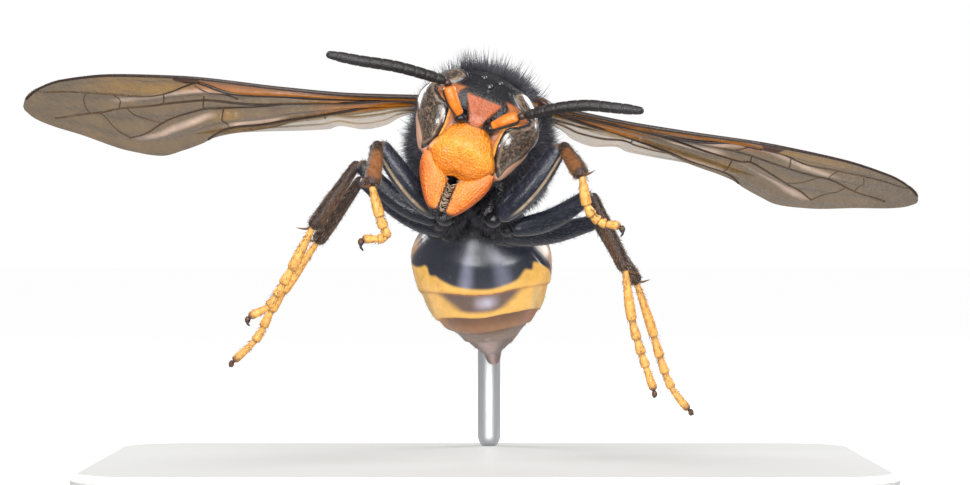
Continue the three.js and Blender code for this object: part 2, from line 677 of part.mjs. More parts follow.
// A thin curved plate: the same grid on both faces, closed round its edge
function vane(wing, hold) {
  const [root, tip] = [at(...hold.root), at(...hold.tip)];
  const span = tip.clone().sub(root);
  const way = span.clone().normalize();
  const level = at(...hold.chord);
  level.addScaledVector(way, -level.dot(way)).normalize();
  const handed = Math.sign(way.x);
  const places = spanLines(wing);
  const faceOf = (face) => places.flatMap((along, i) => {
    const [lead, trail] = [wing.lead(along), wing.trail(along)];
    const turn = handed * THREE.MathUtils.degToRad(hold.twist * (1 - along) ** 2);
    const chord = level.clone().applyAxisAngle(way, -turn);
    const normal = at(0, 0, 0).crossVectors(way, chord);
    return chordLines(wing, along, lead - trail).map(([share, thickness]) => {
      const thick = i === places.length - 1 ? WING_EDGE_THICKNESS : thickness;
      const bow = handed * WING_CAMBER * Math.sin(Math.PI * share) * Math.sin(Math.PI * along);
      return root.clone()
        .addScaledVector(span, along)
        .addScaledVector(chord, -(lead + (trail - lead) * share))
        .addScaledVector(normal, bow + (face * thick) / 2);
    });
  });
  const points = [...faceOf(1), ...faceOf(-1)];
  const other = points.length / 2;
  const columns = other / places.length;
  const last = columns - 1;
  const rows = places.length - 1;
  const faces = [];
  for (let i = 0; i < rows; i += 1) {
    for (let j = 0; j < last; j += 1) {
      const a = i * columns + j;
      const [b, c, d] = [a + 1, a + columns + 1, a + columns];
      faces.push(a, b, c, a, c, d);
      faces.push(a + other, c + other, b + other, a + other, d + other, c + other);
    }
  }
  const rim = [];
  for (let j = 0; j < last; j += 1) rim.push(j);
  for (let i = 0; i < rows; i += 1) rim.push(i * columns + last);
  for (let j = last; j > 0; j -= 1) rim.push(rows * columns + j);
  for (let i = rows; i > 0; i -= 1) rim.push(i * columns);
  rim.forEach((a, k) => {
    const b = rim[(k + 1) % rim.length];
    faces.push(b, a, a + other, b, a + other, b + other);
  });
  return closed(points, faces);
}

// A small domed scale over the root of the forewing
function tegula(root, grow = 0) {
  const scale = new THREE.SphereGeometry(1, 12, 8);
  scale.scale(...TEGULA_HALF.map((half) => half + grow));
  scale.translate(root.x, root.y, root.z + TEGULA_RISE);
  return scale;
}

function wings(name) {
  const { forewing, hindwing } = WINGS[name];
  const fore = vane(FOREWING, forewing);
  const hind = vane(HINDWING, hindwing);
  const root = at(...forewing.root);
  return [
    piece(`${name}_tegula`, carve(tegula(root), wholeThorax), DARK_BROWN, 0.4),
    piece(`${name}_forewing`, carve(fore, wholeThorax, tegula(root, GAP)), SMOKE, 0.4),
    piece(`${name}_hindwing`, carve(hind, wholeThorax), SMOKE, 0.4),
  ];
}

// The stand: a flat base, an upright rod behind the gaster, and an arm forward to its back
function stand() {
  const [x, y] = [BASE_LENGTH / 2 - BASE_BEVEL, BASE_DEPTH / 2 - BASE_BEVEL];
  const outline = new THREE.Shape();
  const corner = BASE_CORNER;
  outline.moveTo(-x + corner, -y);
  outline.lineTo(x - corner, -y);
  outline.absarc(x - corner, -y + corner, corner, -Math.PI / 2, 0);
  outline.absarc(x - corner, y - corner, corner, 0, Math.PI / 2);
  outline.absarc(-x + corner, y - corner, corner, Math.PI / 2, Math.PI);
  outline.absarc(-x + corner, -y + corner, corner, Math.PI, 1.5 * Math.PI);
  const slab = new THREE.ExtrudeGeometry(outline, {
    depth: BASE_HEIGHT - 2 * BASE_BEVEL,
    bevelThickness: BASE_BEVEL,
    bevelSize: BASE_BEVEL,
    bevelSegments: 1,
    curveSegments: 5,
  });
  slab.translate(0, 0, BASE_BEVEL);

  const rodTop = ARM_HEIGHT - ARM_RADIUS - GAP;
  const rodLength = rodTop - BASE_HEIGHT - GAP;
  const rod = new THREE.CylinderGeometry(ROD_RADIUS, ROD_RADIUS, rodLength, ROUND_SIDES);
  rod.rotateX(Math.PI / 2);
  rod.translate(ROD_PLACE[0], ROD_PLACE[1], BASE_HEIGHT + GAP + rodLength / 2);

  const arm = new THREE.CylinderGeometry(ARM_RADIUS, ARM_RADIUS, ARM_REACH + ARM_OVERHANG, ROUND_SIDES);
  arm.translate(ROD_PLACE[0], ROD_PLACE[1] + (ARM_OVERHANG - ARM_REACH) / 2, ARM_HEIGHT);
  const wholeGaster = stretch(gasterForm, 0, 1, 18, GAP);
  return [
    piece("stand_base", toGeometry(toSolid(slab)), STAND_WHITE, 0.5),
    piece("stand_rod", toGeometry(toSolid(rod)), STEEL, 0.3, 0.8),
    piece("stand_arm", carve(arm, wholeGaster), STEEL, 0.3, 0.8),
  ];
}

const group = new THREE.Group();
group.add(head());
for (const name of Object.keys(SIDES)) {
  group.add(...antenna(name));
  group.add(...wings(name));
}
group.add(...thorax());
group.add(...gaster());
for (const name of Object.keys(LEGS)) {
  group.add(...leg(name));
}
group.add(...stand());

export default group;
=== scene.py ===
import math

import bpy
import numpy as np
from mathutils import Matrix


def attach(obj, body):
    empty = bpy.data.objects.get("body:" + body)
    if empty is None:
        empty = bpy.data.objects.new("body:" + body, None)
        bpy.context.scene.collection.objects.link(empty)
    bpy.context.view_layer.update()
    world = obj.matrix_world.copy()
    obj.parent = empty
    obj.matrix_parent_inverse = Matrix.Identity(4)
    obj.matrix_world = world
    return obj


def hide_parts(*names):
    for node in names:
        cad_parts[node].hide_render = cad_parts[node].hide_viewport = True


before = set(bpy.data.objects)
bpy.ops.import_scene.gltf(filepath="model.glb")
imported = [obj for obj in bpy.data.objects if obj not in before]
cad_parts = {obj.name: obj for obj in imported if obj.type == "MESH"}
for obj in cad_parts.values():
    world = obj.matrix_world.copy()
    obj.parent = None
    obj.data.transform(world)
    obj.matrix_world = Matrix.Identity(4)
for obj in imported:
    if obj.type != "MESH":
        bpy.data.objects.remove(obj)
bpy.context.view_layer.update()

# Looks of the hornet. Sizes are in millimetres and are scaled to metres where a mesh is made.
MM = 0.001
RANDOM = np.random.default_rng(11)
FRONT = np.array([0.0, -1.0, 0.0])
SIDES = {"left": 1, "right": -1}

# Camera: level, as high as the middle of the body, in front of the face
CAMERA_PLACE = (0.0, -159.5, 12.0)
IMAGE_WIDTH = 970
FOCAL_PIXELS = 3450
SENSOR_WIDTH = 36.0

# Colours, as linear red, green and blue
def rgb(*parts):
    return np.array(parts)


WHITE = (1, 1, 1, 1)
BLACK = rgb(0.007, 0.0065, 0.009)
BLUE_BLACK = rgb(0.012, 0.014, 0.024)
DARK_BROWN = rgb(0.045, 0.02, 0.012)
BROWN = rgb(0.14, 0.062, 0.028)
RUST = rgb(0.34, 0.1, 0.025)
ORANGE = rgb(0.78, 0.3, 0.045)
YELLOW = rgb(0.82, 0.46, 0.1)
TAN = rgb(0.62, 0.36, 0.2)
HAIR_BLACK = rgb(0.036, 0.035, 0.045)
HAIR_GREY = rgb(0.2, 0.21, 0.28)
HAIR_TAN = rgb(0.5, 0.36, 0.24)

# Steps between two points of a line, the gap at a ball's poles, how round a limb ends, and a least length
SPAN_STEPS = 60
POLE_GAP = 0.08
END_ROUNDING = 0.98
TINY = 1e-9


# Smooth values and directions
def through(pairs):
    """A smooth value through [place, value] pairs, level where the values turn."""
    places = np.array([pair[0] for pair in pairs], float)
    values = np.array([pair[1] for pair in pairs], float)
    rises = np.diff(values) / np.diff(places)
    slopes = np.zeros(len(pairs))
    slopes[0] = rises[0]
    slopes[-1] = rises[-1]
    for i in range(1, len(pairs) - 1):
        before, after = rises[i - 1], rises[i]
        if before * after > 0:
            slopes[i] = 2 * before * after / (before + after)

    def value_at(place):
        place = np.clip(place, places[0], places[-1])
        i = np.clip(np.searchsorted(places, place, side="right") - 1, 0, len(pairs) - 2)
        width = places[i + 1] - places[i]
        t = (place - places[i]) / width
        rest = 1 - t
        ends = values[i] * (1 + 2 * t) * rest**2 + values[i + 1] * t**2 * (3 - 2 * t)
        return ends + (slopes[i] * t * rest**2 - slopes[i + 1] * t**2 * rest) * width

    return value_at


def step(low, high, value):
    """0 below low, 1 above high, and smooth between them."""
    t = np.clip((value - low) / (high - low), 0, 1)
    return t * t * (3 - 2 * t)


def bump(middle, width, value):
    """1 at the middle, and 0 farther off than the width."""
    return 1 - step(0, width, np.abs(value - middle))


def window(start, full, fade, end, value):
    """1 from full to fade, and 0 before the start and past the end."""
    return step(start, full, value) * step(end, fade, value)


def mix(first, second, share):
    share = np.asarray(share, float)[..., None]
    return first * (1 - share) + second * share


def layered(colours, *layers):
    """Colours with others laid over them in turn, each a colour and its share."""
    for colour, share in layers:
        colours = mix(colours, colour, share)
    return colours


def unit(vectors):
    return vectors / np.maximum(np.linalg.norm(vectors, axis=-1, keepdims=True), TINY)


def turns(count):
    """Even angles round a ring."""
    return np.linspace(0, 2 * math.pi, count, endpoint=False)


def form_grid(rows, columns):
    """Places along a form, closer near its ends, and angles round it."""
    place = (1 - np.cos(np.linspace(0, math.pi, rows))) / 2
    return np.meshgrid(place, turns(columns), indexing="ij")


def roll(angle):
    """A turn about the Y axis, as a matrix."""
    cos, sin = math.cos(angle), math.sin(angle)
    return np.array([[cos, 0, sin], [0, 1, 0], [-sin, 0, cos]])


def pitch(angle):
    """A turn about the X axis, as a matrix."""
    cos, sin = math.cos(angle), math.sin(angle)
    return np.array([[1, 0, 0], [0, cos, -sin], [0, sin, cos]])


def smooth_line(points, count):
    """A centripetal curve through the points, at even steps of its length."""
    points = np.array(points, float)
    points = np.vstack([2 * points[0] - points[1], points, 2 * points[-1] - points[-2]])
    spans = np.sqrt(np.linalg.norm(np.diff(points, axis=0), axis=1))
    t = np.linspace(0, 1, SPAN_STEPS)[:, None]
    dense = []
    for i in range(1, len(points) - 2):
        before, first, second, after = points[i - 1 : i + 3]
        a, b, c = spans[i - 1 : i + 2]
        leave = ((first - before) / a - (second - before) / (a + b) + (second - first) / b) * b
        arrive = ((second - first) / b - (after - first) / (b + c) + (after - second) / c) * b
        dense.append(
            first * (1 + 2 * t) * (1 - t) ** 2 + second * t**2 * (3 - 2 * t)
            + leave * t * (1 - t) ** 2 - arrive * t**2 * (1 - t)
        )
    dense = np.vstack(dense)
    lengths = np.concatenate([[0], np.cumsum(np.linalg.norm(np.diff(dense, axis=0), axis=1))])
    wanted = np.linspace(0, lengths[-1], count)
    return np.stack([np.interp(wanted, lengths, dense[:, axis]) for axis in range(3)], axis=1)


# Meshes
class Shape:
    """Points, triangles and paint of one mesh, gathered form by form."""

    def __init__(self):
        self.points = []
        self.faces = []
        self.paint = []
        self.maps = []
        self.count = 0

    def add(self, points, faces, paint, places=None):
        points = np.asarray(points, float).reshape(-1, 3)
        self.points.append(points)
        self.faces.append(np.asarray(faces) + self.count)
        self.paint.append(np.broadcast_to(paint, points.shape).copy())
        if places is not None:
            self.maps.append(places)
        self.count += len(points)


def grid_faces(rows, columns, wrap=False):
    """Two triangles for each cell of a grid. With wrap, the last column joins the first."""
    index = np.arange(rows * columns).reshape(rows, columns)
    if wrap:
        index = np.hstack([index, index[:, :1]])
    a, b, c, d = index[:-1, :-1], index[:-1, 1:], index[1:, 1:], index[1:, :-1]
    return np.stack([a, b, c, a, c, d], axis=-1).reshape(-1, 3)


def tube(shape, rings, paint):
    """A closed tube through rings, each an array of points round it, and pointed or flat at its ends."""
    rows, columns = rings.shape[:2]
    faces = [grid_faces(rows, columns, wrap=True)]
    ends = rings[[0, -1]].mean(axis=1)
    around = np.arange(columns)
    after = (around + 1) % columns
    last = (rows - 1) * columns
    faces.append(np.stack([np.full(columns, rows * columns), after, around], axis=1))
    faces.append(np.stack([np.full(columns, rows * columns + 1), last + around, last + after], axis=1))
    points = np.vstack([rings.reshape(-1, 3), ends])
    paint = np.broadcast_to(paint, rings.shape).reshape(-1, 3)
    paint = np.vstack([paint, paint[:1], paint[-1:]])
    shape.add(points, outward(points, np.vstack(faces)), paint)


def plate(shape, front, back, paint):
    """A closed plate between two grids of points that face each other."""
    rows, columns = front.shape[:2]
    count = rows * columns
    faces = grid_faces(rows, columns)
    rim = np.concatenate([
        np.arange(columns), np.arange(1, rows) * columns + columns - 1,
        np.arange(columns - 2, -1, -1) + (rows - 1) * columns, np.arange(rows - 2, 0, -1) * columns,
    ])
    after = np.roll(rim, -1)
    walls = np.vstack([
        np.stack([after, rim, rim + count], axis=1), np.stack([after, rim + count, after + count], axis=1),
    ])
    points = np.vstack([front.reshape(-1, 3), back.reshape(-1, 3)])
    paint = np.broadcast_to(paint, front.shape).reshape(-1, 3)
    faces = np.vstack([faces, faces[:, ::-1] + count, walls])
    shape.add(points, outward(points, faces), np.vstack([paint, paint]))


def outward(points, faces):
    """The faces of a closed mesh, turned so that they look out."""
    a, b, c = (points[faces[:, corner]] for corner in range(3))
    return faces if np.sum(a * np.cross(b, c)) > 0 else faces[:, ::-1]


def ellipsoid(shape, centre, halves, axes, paint, rows=12, columns=20):
    """A ball stretched along three axes, given as rows of a matrix."""
    tilt = np.linspace(POLE_GAP - math.pi / 2, math.pi / 2 - POLE_GAP, rows)[:, None]
    turn = turns(columns)[None, :]
    local = np.stack([
        np.cos(tilt) * np.cos(turn), np.cos(tilt) * np.sin(turn), np.sin(tilt) + 0 * turn,
    ], axis=-1) * halves
    tube(shape, centre + local @ np.asarray(axes, float), paint)


def limb_frame(line, girth, rings, lead=FRONT):
    """A limb's path, the ways to its side and its front, its half width, and the place of each ring."""
    path = smooth_line(line, rings)
    tangent = unit(np.gradient(path, axis=0))
    side = unit(np.cross(tangent, lead))
    place = np.linspace(0, 1, rings)
    length = np.linalg.norm(np.diff(path, axis=0), axis=1).sum()
    half = through(girth)(place)
    to_end = np.minimum(place, 1 - place) * length / half
    half = half * np.sqrt(1 - (1 - np.clip(to_end, 0, 1)) ** 2 * END_ROUNDING)
    return path, side, np.cross(side, tangent), half, place


def rings_about(path, side, depth, spread, turn, flat=1.0):
    """Rings of points about a path, flattened from front to back."""
    return (
        path[:, None]
        + side[:, None] * (spread * np.cos(turn))[..., None]
        + depth[:, None] * (spread * np.sin(turn) * flat)[..., None]
    )


def limb(shape, line, girth, paint, sides=20, rings=60, flat=1.0, lead=FRONT, relief=None):
    """A limb along a smooth line with rounded ends. Its girth is [place, half width] pairs, and its
    paint is a colour or a function of the place along it and the angle round it."""
    path, side, depth, half, place = limb_frame(line, girth, rings, lead)
    place, turn = np.meshgrid(place, turns(sides), indexing="ij")
    spread = half[:, None] * (1 if relief is None else relief(place))
    if callable(paint):
        paint = paint(place, turn)
    tube(shape, rings_about(path, side, depth, spread, turn, flat), paint)
    return path, side, depth, half


def scaled(girth, bulk):
    return [[place, half * bulk] for place, half in girth]


def add_object(name, data):
    made = bpy.data.objects.new(name, data)
    bpy.context.scene.collection.objects.link(made)
    return made


def make_piece(name, shape, material, slot, *nodes):
    """One named mesh of a shape. It rides on the body and stands for the nodes it is given."""
    points = np.vstack(shape.points) * MM
    faces = np.vstack(shape.faces)
    mesh = bpy.data.meshes.new(name)
    mesh.vertices.add(len(points))
    mesh.vertices.foreach_set("co", points.ravel().astype(np.float32))
    mesh.loops.add(faces.size)
    mesh.loops.foreach_set("vertex_index", faces.ravel().astype(np.int32))
    mesh.polygons.add(len(faces))
    mesh.polygons.foreach_set("loop_start", np.arange(0, faces.size, 3, dtype=np.int32))
    mesh.update(calc_edges=True)
    mesh.shade_smooth()
    colours = np.ones((len(points), 4), np.float32)
    colours[:, :3] = np.vstack(shape.paint)
    paint = mesh.color_attributes.new("paint", "FLOAT_COLOR", "POINT")
    paint.data.foreach_set("color", colours.ravel())
    if shape.maps:
        unwrap = mesh.uv_layers.new(name="OFBake")
        unwrap.data.foreach_set("uv", np.vstack(shape.maps)[faces.ravel()].ravel().astype(np.float32))
    mesh.materials.append(material)
    mesh.validate()
    piece = add_object(name, mesh)
    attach(piece, "root")
    if nodes:
        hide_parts(*nodes)


# Materials
def set_inputs(node, **values):
    """Values for a node's inputs, called by their names in lower case with underscores."""
    for name, value in values.items():
        node.inputs[name.replace("_", " ").title().replace("Ior", "IOR")].default_value = value


def new_material(name):
    material = bpy.data.materials.new(name)
    material.use_nodes = True
    return material, material.node_tree.nodes["Principled BSDF"]


def painted(name, roughness, mottle=0.25, mottle_size=0.35, grain=0.15, grain_size=0.09, **settings):
    """A surface with the mesh's paint, mottled a little, and a fine grain in its gloss. Sizes in mm."""
    material, shader = new_material(name)
    nodes = material.node_tree.nodes
    paint, place, noise, spread, tint = (
        nodes.new(f"ShaderNode{kind}")
        for kind in ("VertexColor", "TexCoord", "TexNoise", "MapRange", "VectorMath")
    )
    paint.layer_name = "paint"
    tint.operation = "SCALE"
    set_inputs(noise, scale=1 / (mottle_size * MM), detail=4)
    set_inputs(spread, from_min=0.3, from_max=0.7, to_min=1 - mottle, to_max=1 + mottle)
    wires = [
        (place, "Object", noise, "Vector"), (noise, "Fac", spread, "Value"), (paint, "Color", tint, 0),
        (spread, "Result", tint, "Scale"), (tint, "Vector", shader, "Base Color"),
    ]
    if grain:
        cells, relief = nodes.new("ShaderNodeTexVoronoi"), nodes.new("ShaderNodeBump")
        set_inputs(cells, scale=1 / (grain_size * MM))
        set_inputs(relief, strength=grain, distance=grain_size * MM)
        wires += [
            (place, "Object", cells, "Vector"), (cells, "Distance", relief, "Height"),
            (relief, "Normal", shader, "Normal"),
        ]
    for source, output, target, socket in wires:
        material.node_tree.links.new(source.outputs[output], target.inputs[socket])
    set_inputs(shader, roughness=roughness, **settings)
    return material


def plain(name, colour, roughness, **settings):
    material, shader = new_material(name)
    set_inputs(shader, base_color=(*colour, 1), roughness=roughness, **settings)
    return material


CUTICLE = painted("cuticle", 0.3, coat_weight=0.2, coat_roughness=0.18, specular_ior_level=0.35)
HEAD_CUTICLE = painted("head_cuticle", 0.3, mottle=0.14, grain=0.25, grain_size=0.08, coat_weight=0.15,
                       specular_ior_level=0.35)
FACE_CUTICLE = painted("face_cuticle", 0.42, mottle=0.16, grain=0.65, grain_size=0.1, coat_weight=0.2,
                       coat_roughness=0.2, specular_ior_level=0.4)
LEG_CUTICLE = painted("leg_cuticle", 0.42, mottle=0.3, mottle_size=0.2, grain=0.25, grain_size=0.06,
                      specular_ior_level=0.35)
EYE_SURFACE = painted("eye_surface", 0.24, mottle=0.5, mottle_size=0.22, grain=0.12, grain_size=0.04,
                      coat_weight=1.0, coat_roughness=0.1)
HAIR = painted("hair", 0.55, mottle=0.1, grain=0)


# Head, in its own frame: width along X, crown along Z, face along -Y
HEAD_CENTRE = np.array([-0.48, -9.5, 16.98])
HEAD_ROLL = math.radians(21.5)
HEAD_PITCH = math.radians(-5)
HEAD_BOTTOM = -2.15
HEAD_TOP = 2.5
HEAD_ROUNDING = 0.45
HEAD_SQUARENESS = 2.3
HEAD_GRID = (170, 260)
EYE_GRID = (150, 120)
HEAD_TURN = roll(HEAD_ROLL) @ pitch(HEAD_PITCH)
head_half = through([
    [HEAD_BOTTOM, 1.2], [-2, 1.6], [-1.6, 2], [-0.9, 2.35], [-0.4, 2.55],
    [0.5, 2.65], [1.2, 2.42], [2.1, 1.7], [HEAD_TOP, 0.9],
])
head_front = through([
    [HEAD_BOTTOM, 0.5], [-1.2, 1.15], [0, 1.45], [1, 1.35], [2, 0.85], [HEAD_TOP, 0.45],
])
head_back = through([
    [HEAD_BOTTOM, 0.4], [-1, 1.1], [0, 1.3], [1.2, 1.2], [2, 0.85], [HEAD_TOP, 0.4],
])
# The inner edge of the eye on the face: a tall lower lobe, the notch, and a short upper lobe
EYE_EDGE = np.array([
    [1.75, -1.7], [1.36, -1.3], [1.24, -0.5], [1.3, 0.25], [1.5, 0.47], [1.8, 0.62], [2.08, 0.86],
    [2.1, 1.02], [1.85, 1.18], [1.42, 1.42], [1.15, 1.68], [1.0, 1.9], [1.2, 2.12], [1.75, 2.25],
])
EYE_BOTTOM = -1.72
EYE_TOP = 2.2
EYE_BACK = through([[-1.7, 0.4], [-1.3, 0.5], [-0.6, 0.32], [0, 0.08], [0.6, -0.3], [2.2, -0.32]])
EYE_BULGE = 0.16
EYE_BROWN = rgb(0.02, 0.012, 0.008)
EYE_SPECK = rgb(0.3, 0.2, 0.13)
SPECK_CELLS = 3
SOCKET_PLACE = (0.68, 0.18)
SOCKET_RADIUS = 0.3
SHIELD_HALF = [[-0.15, 0.2], [0.1, 0.34], [0.55, 0.5], [1.15, 0.78]]
SHIELD_TOP = 1.15
OCELLI = [(0, 1.78, 0.17), (-0.36, 2.1, 0.13), (0.36, 2.1, 0.13)]
SHIELD_RED = rgb(0.36, 0.085, 0.026)
TEMPLE_PINK = rgb(0.55, 0.3, 0.2)


def placed(points):
    """Points of the head's own frame, in the model's."""
    return HEAD_CENTRE + np.asarray(points) @ HEAD_TURN.T


def bent(value):
    return np.sign(value) * np.abs(value) ** (2 / HEAD_SQUARENESS)


def head_point(height, turn, lift=0):
    """A point of the head's surface at a height, turned from its left side over the face."""
    ends = np.minimum(HEAD_TOP - height, height - HEAD_BOTTOM) / HEAD_ROUNDING
    rounding = np.sqrt(np.clip(1 - (1 - np.clip(ends, 0, 1)) ** 2, 0.002, 1))
    across, deep = bent(np.cos(turn)), bent(np.sin(turn))
    depth = np.where(deep > 0, head_front(height), head_back(height)) * rounding + lift
    wide = head_half(height) * rounding + lift
    return np.stack([across * wide, -deep * depth, height + 0 * turn], axis=-1)


def edge_distance(x, z):
    """Distance on the face from the inner edge of the eye."""
    nearest = np.full(np.shape(x), 9.0)
    for start, end in zip(EYE_EDGE[:-1], EYE_EDGE[1:]):
        way = end - start
        along = np.clip(((x - start[0]) * way[0] + (z - start[1]) * way[1]) / (way @ way), 0, 1)
        nearest = np.minimum(nearest, np.hypot(x - start[0] - along * way[0], z - start[1] - along * way[1]))
    return nearest


def head_skin():
    place, turn = form_grid(*HEAD_GRID)
    height = HEAD_BOTTOM + (HEAD_TOP - HEAD_BOTTOM) * place
    points = head_point(height, turn)
    x, z = points[..., 0], points[..., 2]
    ahead = np.sin(turn)
    face = step(0.1, 0.5, ahead)
    side = np.abs(x)
    socket = np.hypot(side - SOCKET_PLACE[0], z - SOCKET_PLACE[1])
    edge = edge_distance(side, z)
    shield = step(0.06, -0.03, side - through(SHIELD_HALF)(z))
    shield = shield * step(SHIELD_TOP + 0.08, SHIELD_TOP - 0.04, z)
    lift = 0.16 * shield * bump(0.25, 0.9, z)
    lift += 0.07 * bump(SOCKET_RADIUS, 0.1, socket) - 0.16 * step(SOCKET_RADIUS, 0.05, socket)
    lift -= 0.05 * bump(0, 0.05, x) * window(0.35, 0.5, 1.5, 1.65, z)
    lift -= 0.06 * bump(0.05, 0.07, edge) * (z < EYE_TOP) * (z > EYE_BOTTOM)
    points[..., 1] -= lift * face

    orbit = step(0.42, 0.3, edge) * window(-1.9, -1.5, 1.3, 1.5, z) * (side < 2.1)
    notch = step(1.05, 1.25, side) * bump(0.95, 0.45, z) * (side < 2.4)
    cheek = step(-1.15, -1.4, z) * step(1.1, 1.4, side)
    temple = window(-0.5, -0.2, 0.6, 0.75, ahead) * step(0.5, -0.3, z)
    colours = layered(
        BLACK,
        (RUST * 1.1, face * np.clip(orbit + notch, 0, 1)),
        (ORANGE, face * step(0.16, 0.08, edge) * orbit * step(0.9, 0.2, z)),
        (SHIELD_RED, face * shield),
        (ORANGE, cheek * face),
        (TEMPLE_PINK, np.clip(temple + cheek * (1 - face), 0, 1)),
        (BLACK, face * step(SOCKET_RADIUS + 0.1, SOCKET_RADIUS, socket)),
    )
    return height, turn, points, colours


def eye(side):
    """The eye: a pillow on the head's surface, from its edge on the face round to the temple."""
    rows, columns = EYE_GRID
    height = np.linspace(EYE_BOTTOM, EYE_TOP, rows)[:, None]
    inner = np.interp(height[:, 0], EYE_EDGE[:, 1], EYE_EDGE[:, 0])[:, None]
    half = head_half(height)
    start = np.arccos(np.clip(inner / half, 0, 0.999) ** (HEAD_SQUARENESS / 2))
    share = np.linspace(0, 1, columns)[None, :]
    turn = start + (EYE_BACK(height) - start) * share
    base = head_point(height, turn)
    to_edge = np.where(base[..., 1] < -0.3, edge_distance(base[..., 0], base[..., 2]), 9)
    to_back = np.linalg.norm(base - base[:, -1:], axis=-1)
    to_end = np.minimum(height - EYE_BOTTOM, EYE_TOP - height)
    inside = np.minimum(np.minimum(to_edge, to_back), to_end)
    pillow = np.sqrt(1 - (1 - np.clip(inside / 0.55, 0, 1)) ** 2)
    front = head_point(height, turn, lift=EYE_BULGE * pillow - 0.03)
    hidden = head_point(height, turn, lift=-0.3)
    speck = RANDOM.random((rows // SPECK_CELLS, columns // SPECK_CELLS)) ** 2
    speck = np.kron(speck, np.ones((SPECK_CELLS, SPECK_CELLS))) * RANDOM.uniform(0.4, 1, inside.shape)
    colours = layered(
        EYE_BROWN,
        (EYE_SPECK, 0.75 * speck),
        (EYE_SPECK * 1.2, 0.45 * bump(0.15, 0.07, inside)),
        (BLACK, step(0.11, 0.05, inside)),
    )
    for grid in (front, hidden):
        grid[..., 0] *= side
    shape = Shape()
    plate(shape, placed(front), placed(hidden), colours)
    return shape


# The clypeus, a domed and pitted plate between the eyes and over the mouth
CLYPEUS_TOP = -0.1
CLYPEUS_BOTTOM = -2.5
clypeus_half = through([
    [CLYPEUS_BOTTOM, 0.8], [-2.2, 1.12], [-2, 1.3], [-1.6, 1.56], [-1.35, 1.5],
    [-0.9, 1.25], [-0.4, 1.0], [CLYPEUS_TOP, 0.68],
])
clypeus_front = through([[CLYPEUS_BOTTOM, 1.3], [-2, 1.62], [-1, 1.85], [CLYPEUS_TOP, 1.62]])
CLYPEUS_BACK = 0.85
CLYPEUS_GRID = (110, 130)
CLYPEUS_NOTCH = 0.12
CLYPEUS_DARK = rgb(0.62, 0.17, 0.008)
CLYPEUS_LIGHT = rgb(0.74, 0.25, 0.014)


def clypeus():
    rows, columns = CLYPEUS_GRID
    height = np.linspace(CLYPEUS_BOTTOM, CLYPEUS_TOP, rows)[:, None]
    across = np.linspace(-1, 1, columns)[None, :]
    notch = CLYPEUS_NOTCH * bump(0, 0.5, across) * step(-1.9, CLYPEUS_BOTTOM, height)
    x = across * clypeus_half(height)
    z = height + notch + 0.05 * across**2 * step(-0.5, CLYPEUS_TOP, height)
    crown = (1 - np.abs(across) ** 3.2) ** (1 / 2.4) * (1 - 0.3 * step(-2.25, CLYPEUS_BOTTOM, height))
    y = -(CLYPEUS_BACK + (clypeus_front(height) - CLYPEUS_BACK) * crown)
    y = y + 0.05 * bump(1, 0.14, np.abs(across)) - 0.03 * bump(0.86, 0.1, np.abs(across))
    front = np.stack([x + 0 * z, y, z + 0 * x], axis=-1)
    hidden = front.copy()
    hidden[..., 1] = -CLYPEUS_BACK
    rim = np.clip(step(0.945, 0.985, np.abs(across)) + step(-0.2, CLYPEUS_TOP, height), 0, 1)
    colours = layered(
        CLYPEUS_DARK, (CLYPEUS_LIGHT, bump(-1.1, 1, height) + 0 * across), (DARK_BROWN, 0.85 * rim),
    )
    shape = Shape()
    plate(shape, placed(front), placed(hidden), colours)
    return shape


# Mandibles: broad blades that close along the midline, with four black teeth each
MANDIBLE_TOP = -1.8
MANDIBLE_TIP = -4.38
MANDIBLE_MIDDLE = 0.92
BRISTLES = 34
BRISTLE_HEIGHTS = (-3.9, -2.35)
BRISTLE_LENGTH = 0.32
TEETH = [(-4.3, 0.16, 0.2), (-3.98, 0.13, 0.15), (-3.66, 0.13, 0.17), (-3.3, 0.14, 0.2)]
mandible_inner = through([
    [MANDIBLE_TIP, 0.07], [-2.85, 0.07], [-2.45, 0.36], [-2.1, 0.9], [MANDIBLE_TOP, 1.2],
])
mandible_outer = through([
    [MANDIBLE_TIP, 0.24], [-4.15, 0.48], [-3.7, 0.9], [-3.2, 1.24], [-2.7, 1.5], [-2.3, 1.62],
    [MANDIBLE_TOP, 1.66],
])
mandible_deep = through([
    [MANDIBLE_TIP, 0.08], [-4, 0.24], [-3.2, 0.38], [-2.4, 0.44], [MANDIBLE_TOP, 0.42],
])
BLADE_ORANGE = rgb(0.6, 0.13, 0.01)
BLADE_LIGHT = rgb(0.82, 0.34, 0.05)
BLADE_RED = rgb(0.45, 0.085, 0.003)
BLADE_RIDGES = 9
BLADE_GRID = (130, 60)


